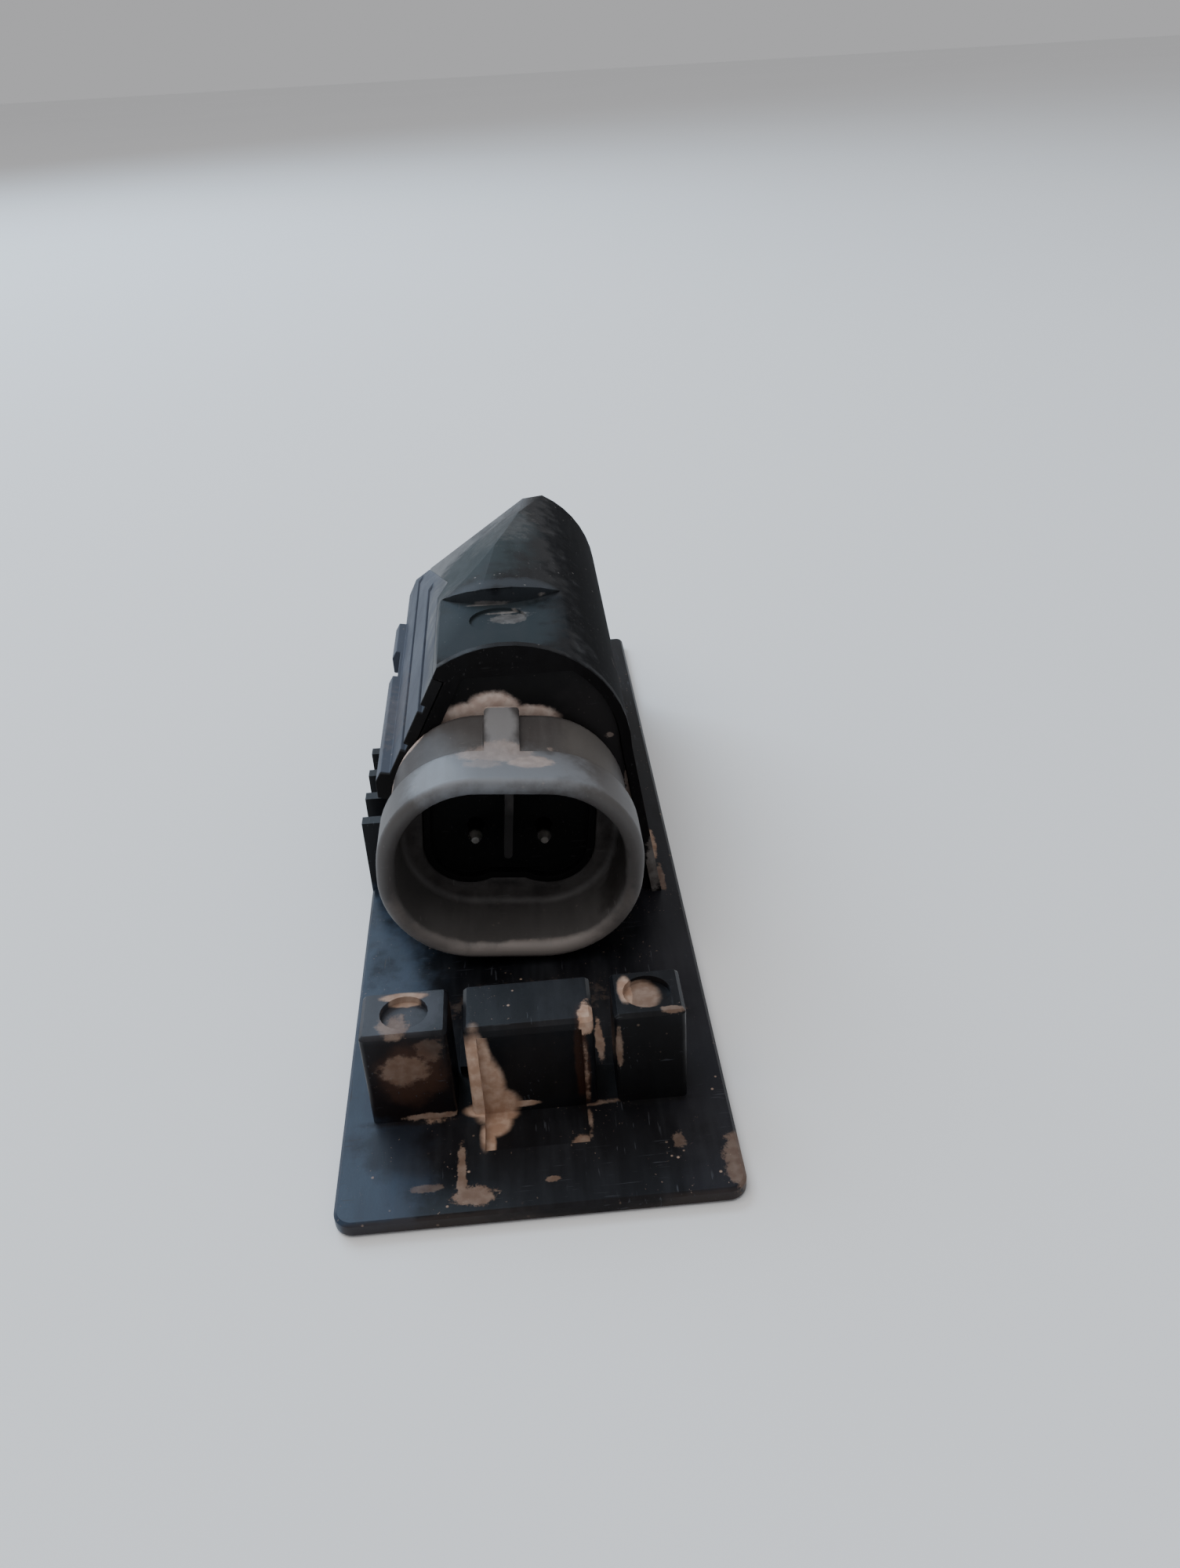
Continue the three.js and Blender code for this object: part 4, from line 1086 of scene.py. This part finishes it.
@dataclass
class PlugSocket:
    """Grey oval socket, rolled a little about the long axis."""

    band: Triple = (27.6, 22.3, 10.4)
    block_size: Pair = (25.6, 21.0)
    wall_mm: float = 1.9
    pocket_mm: float = 7.8
    band_mm: float = 6.2
    block_mm: float = 5.3
    block_rise_mm: float = 2.3
    lip_mm: float = 0.82
    key_size: Triple = (3.7, 2.0, 0.4)
    key_span: Pair = (5.2, 11.4)
    key_centre: Pair = (-1.0, 10.05)
    lobe_size: Triple = (10.2, 14.2, 5.0)
    lobe_offset_mm: float = 4.3
    waist_size: Triple = (8.6, 13.0, 0.3)
    floor_span: Pair = (6.0, 10.3)
    rib_size: Triple = (0.9, 11.2, 0.42)
    rib_span: Pair = (5.2, 8.6)
    rib_centre: Pair = (-0.2, 4.0)
    mouth: float = 32.4
    centre_x: float = -0.9
    centre_height: float = 12.2
    roll_deg: float = 5.5

    def _placement(self) -> Matrix:
        """Turns and moves a piece modelled about the socket's own axis."""
        place = Matrix.Translation(Vector(spot(self.centre_x, self.mouth, self.centre_height)) * MM)
        return place @ Matrix.Rotation(math.radians(self.roll_deg), 4, "Y")

    def _outline(self, name: str, width: float, height: float, radius: float, y_mm: float,
                 centre: Pair = (0.0, 0.0), segments: int = 14) -> bpy.types.Object:
        """A flat rounded rectangle that faces the plug side.

        Args:
            name: the object's name.
            width: across, in millimetres.
            height: up, in millimetres.
            radius: corner radius.
            y_mm: how far behind the mouth it lies.
            centre: its centre across and up.
            segments: steps round each corner.

        Returns:
            The object, with its place in its mesh.
        """
        Bench.clear_selection()
        bpy.ops.mesh.primitive_plane_add(size=1.0, rotation=(math.pi / 2, 0.0, 0.0))
        piece = bpy.context.object
        piece.name = name
        piece.scale = (width * MM, height * MM, 1.0)
        piece.location = (centre[0] * MM, y_mm * MM, centre[1] * MM)
        bpy.ops.object.transform_apply(location=True, rotation=True, scale=True)
        Bench.edit(piece, "VERT")
        bpy.ops.mesh.select_all(action="SELECT")
        bpy.ops.mesh.bevel(offset=radius * MM, segments=segments, affect="VERTICES", clamp_overlap=True)
        bpy.ops.object.mode_set(mode="OBJECT")
        return piece

    def _prism(self, name: str, width: float, height: float, radius: float, front: float, rear: float,
               centre: Pair = (0.0, 0.0), segments: int = 8) -> bpy.types.Object:
        """A solid rounded bar along the long axis.

        Args:
            name: the object's name.
            width: across, in millimetres.
            height: up, in millimetres.
            radius: corner radius.
            front: where it starts behind the mouth.
            rear: where it ends.
            centre: its centre across and up.
            segments: steps round each corner.

        Returns:
            The closed solid.
        """
        piece = self._outline(name, width, height, radius, front, centre, segments)
        Bench.edit(piece, "FACE")
        bpy.ops.mesh.select_all(action="SELECT")
        Bench.draw_back(rear - front)
        Bench.finish_edit()
        return piece

    def _shell(self) -> bpy.types.Object:
        """Band, block and pocket drawn out of one rounded outline.

        Returns:
            The closed shell.
        """
        width, height, radius = self.band
        piece = self._outline("plug_shroud", width, height, radius, 0.0)
        Bench.edit(piece, "FACE")
        bpy.ops.mesh.select_all(action="SELECT")
        bpy.ops.mesh.inset(thickness=self.wall_mm * MM, depth=0.0)
        Bench.draw_back(self.pocket_mm)
        bpy.ops.transform.resize(value=(0.985, 1.0, 0.985))
        bpy.ops.mesh.select_all(action="DESELECT")
        bpy.ops.mesh.select_mode(type="EDGE")
        bpy.ops.mesh.select_non_manifold(extend=False, use_boundary=True, use_wire=False,
                                         use_multi_face=False, use_non_contiguous=False, use_verts=False)
        Bench.draw_back(self.band_mm)
        Bench.draw_back(0.0)
        shrink = (self.block_size[0] / width, 1.0, self.block_size[1] / height)
        bpy.ops.transform.resize(value=shrink)
        Bench.draw_back(self.block_mm)
        taller = 1.0 + self.block_rise_mm / self.block_size[1]
        bpy.ops.transform.resize(value=(1.0, 1.0, taller))
        bpy.ops.transform.translate(value=(0.0, 0.0, 0.5 * self.block_rise_mm * MM))
        bpy.ops.mesh.edge_face_add()
        Bench.finish_edit()
        self._round_rim(piece)
        return piece

    def _round_rim(self, piece: bpy.types.Object) -> None:
        """Turns the flat mouth ring into a full round lip.

        Args:
            piece: the shell.
        """
        Bench.edit(piece, "EDGE")
        bpy.ops.mesh.edges_select_sharp(sharpness=math.radians(60.0))
        bpy.ops.object.mode_set(mode="OBJECT")
        vertices = piece.data.vertices
        for edge in piece.data.edges:
            edge.select = edge.select and all(abs(vertices[i].co.y) < 0.05 * MM for i in edge.vertices)
        bpy.ops.object.mode_set(mode="EDIT")
        bpy.ops.mesh.bevel(offset=self.lip_mm * MM, segments=5, affect="EDGES", clamp_overlap=True)
        bpy.ops.object.mode_set(mode="OBJECT")

    def _place(self, piece: bpy.types.Object) -> None:
        """Moves a finished piece to its place and puts the place in its mesh.

        Args:
            piece: the object.
        """
        piece.matrix_world = self._placement()
        Bench.take(piece)
        bpy.ops.object.transform_apply(location=True, rotation=True, scale=True)

    def build(self, finishes: dict[Finish, bpy.types.Material]) -> None:
        """Models the socket and finishes the insert that carries its pins.

        Args:
            finishes: the palette.
        """
        shell = self._shell()
        Bench.soften(shell, 0.4, 3, 35.0)
        key = self._prism("key", *self.key_size, *self.key_span, self.key_centre, 4)
        Bench.edit(key, "FACE")
        Bench.pick_faces(key, lambda face: face.center.y > (self.key_span[1] - 0.1) * MM)
        bpy.ops.transform.translate(value=(0.0, 0.0, (self.block_rise_mm + 0.2) * MM))
        Bench.finish_edit()
        Bench.soften(key, 0.25, 2, 35.0)
        Bench.join_cut(shell, key, "UNION")
        for side in (-1, 1):
            middle = (side * self.lobe_offset_mm, 0.0)
            lobe = self._prism("lobe", *self.lobe_size, *self.floor_span, middle, 10)
            Bench.join_cut(shell, lobe, "DIFFERENCE")
        waist = self._prism("waist", *self.waist_size, *self.floor_span, (0.0, 0.0), 3)
        Bench.join_cut(shell, waist, "DIFFERENCE")
        rib = self._prism("rib", *self.rib_size, *self.rib_span, self.rib_centre, 4)
        Bench.join_cut(shell, rib, "UNION")
        Bench.smooth(shell)
        self._place(shell)
        Bench.dress(shell, finishes[Finish.GREY], "grey_plastic", "connector_shroud")
        carrier = Bench.copy_of("pin_carrier", "pin_block")
        Bench.soften(carrier, 0.15, 2, 40.0)
        Bench.dress(carrier, finishes[Finish.INSERT], "dark_insert", "pin_carrier")


@dataclass
class CarriedNodes:
    """CAD pieces whose shape is already right: they only get their finish."""

    finishes: dict[Finish, tuple[str, ...]] = field(
        default_factory=lambda: {
            Finish.BLACK: ("feed_sleeve",),
            Finish.BRASS: ("terminal_left", "terminal_right"),
            Finish.ZINC: ("solenoid_can", "yoke_washer", "pole_piece", "armature", "nozzle_barrel"),
            Finish.NATURAL: ("coil_bobbin", "tip_cap"),
            Finish.COPPER: ("coil_winding",),
            Finish.POLISHED: (
                "adjuster_tube", "return_spring", "valve_needle", "valve_ball",
                "needle_guide", "valve_seat", "orifice_plate", "retaining_clip",
            ),
            Finish.SCREEN: ("inlet_filter",),
            Finish.RUBBER: ("upper_seal_ring", "lower_seal_ring", "tip_seal_ring", "port_seal_ring"),
        }
    )

    def dress(self, materials: dict[Finish, bpy.types.Material]) -> None:
        """Puts the finishes on the CAD nodes.

        Args:
            materials: the palette.
        """
        for finish, nodes in self.finishes.items():
            for node in nodes:
                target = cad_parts[node]
                if not target.data.materials:
                    target.data.materials.append(materials[finish])
                for index in range(len(target.data.materials)):
                    target.data.materials[index] = materials[finish]
                LOG.info("finish %s on %s", finish.value, node)


# ---------------------------------------------------------------- studio
@dataclass
class Studio:
    """Floor, lights and camera."""

    floor_m: float = 6.0
    lens_mm: float = 28.8
    eye: Triple = (0.002782, -0.130625, 0.088071)
    aim: Triple = (1.025006, 0.048718, -0.075854)

    def _floor(self) -> None:
        """Pale matt sweep under the object."""
        Bench.clear_selection()
        bpy.ops.mesh.primitive_plane_add(size=self.floor_m, location=(0.0, 0.0, -0.02 * MM))
        floor = bpy.context.object
        floor.name = "floor"
        loom = Loom("floor_paper")
        tone = loom.mix(loom.noise(0.004, 3.0), (0.86, 0.86, 0.86), (0.90, 0.90, 0.90))
        floor.data.materials.append(loom.surface({"Base Color": tone}, {"Roughness": 0.9}))

    @staticmethod
    def _panel(name: str, place: Triple, size: Pair, watts: float, tint: Triple) -> None:
        """One soft light panel that faces the object.

        Args:
            name: the light's name.
            place: where it stands, in metres.
            size: its width and height in metres.
            watts: its power.
            tint: its colour.
        """
        data = bpy.data.lights.new(name, "AREA")
        data.shape = "RECTANGLE"
        data.size, data.size_y = size
        data.energy = watts
        data.color = tint
        lamp = bpy.data.objects.new(name, data)
        bpy.context.scene.collection.objects.link(lamp)
        lamp.location = place
        lamp.rotation_mode = "QUATERNION"
        lamp.rotation_quaternion = (-Vector(place)).to_track_quat("-Z", "Y")

    def _world(self) -> None:
        """Even pale surroundings."""
        world = bpy.data.worlds.new("studio")
        bpy.context.scene.world = world
        world.use_nodes = True
        backdrop = world.node_tree.nodes["Background"]
        backdrop.inputs["Color"].default_value = (0.90, 0.90, 0.92, 1.0)
        backdrop.inputs["Strength"].default_value = 0.5

    def _camera(self) -> None:
        """Camera over the tower end, looking along the plate."""
        data = bpy.data.cameras.new("camera")
        data.lens = self.lens_mm
        data.sensor_width = 36.0
        data.clip_start = 0.005
        data.clip_end = 50.0
        camera = bpy.data.objects.new("camera", data)
        bpy.context.scene.collection.objects.link(camera)
        camera.location = self.eye
        camera.rotation_euler = self.aim
        bpy.context.scene.camera = camera

    def build(self) -> None:
        """Sets up the whole studio."""
        self._floor()
        self._world()
        self._panel("sky_window", (-0.42, 0.60, 0.62), (0.62, 0.6), 7.0, (0.62, 0.80, 1.0))
        self._panel("top_soft", (-0.25, -0.15, 0.9), (0.8, 0.8), 4.0, (1.0, 0.98, 0.96))
        self._camera()


def main() -> None:
    """Builds the studio and every sub-assembly in order."""
    logging.basicConfig(level=logging.INFO, format="%(name)s: %(message)s")
    Studio().build()
    palette = Palette()
    finishes = palette.weave()
    MountingPlate().build(finishes)
    Housing().build(palette)
    PlugSocket().build(finishes)
    CarriedNodes().dress(finishes)


if __name__ == "__main__":
    main()
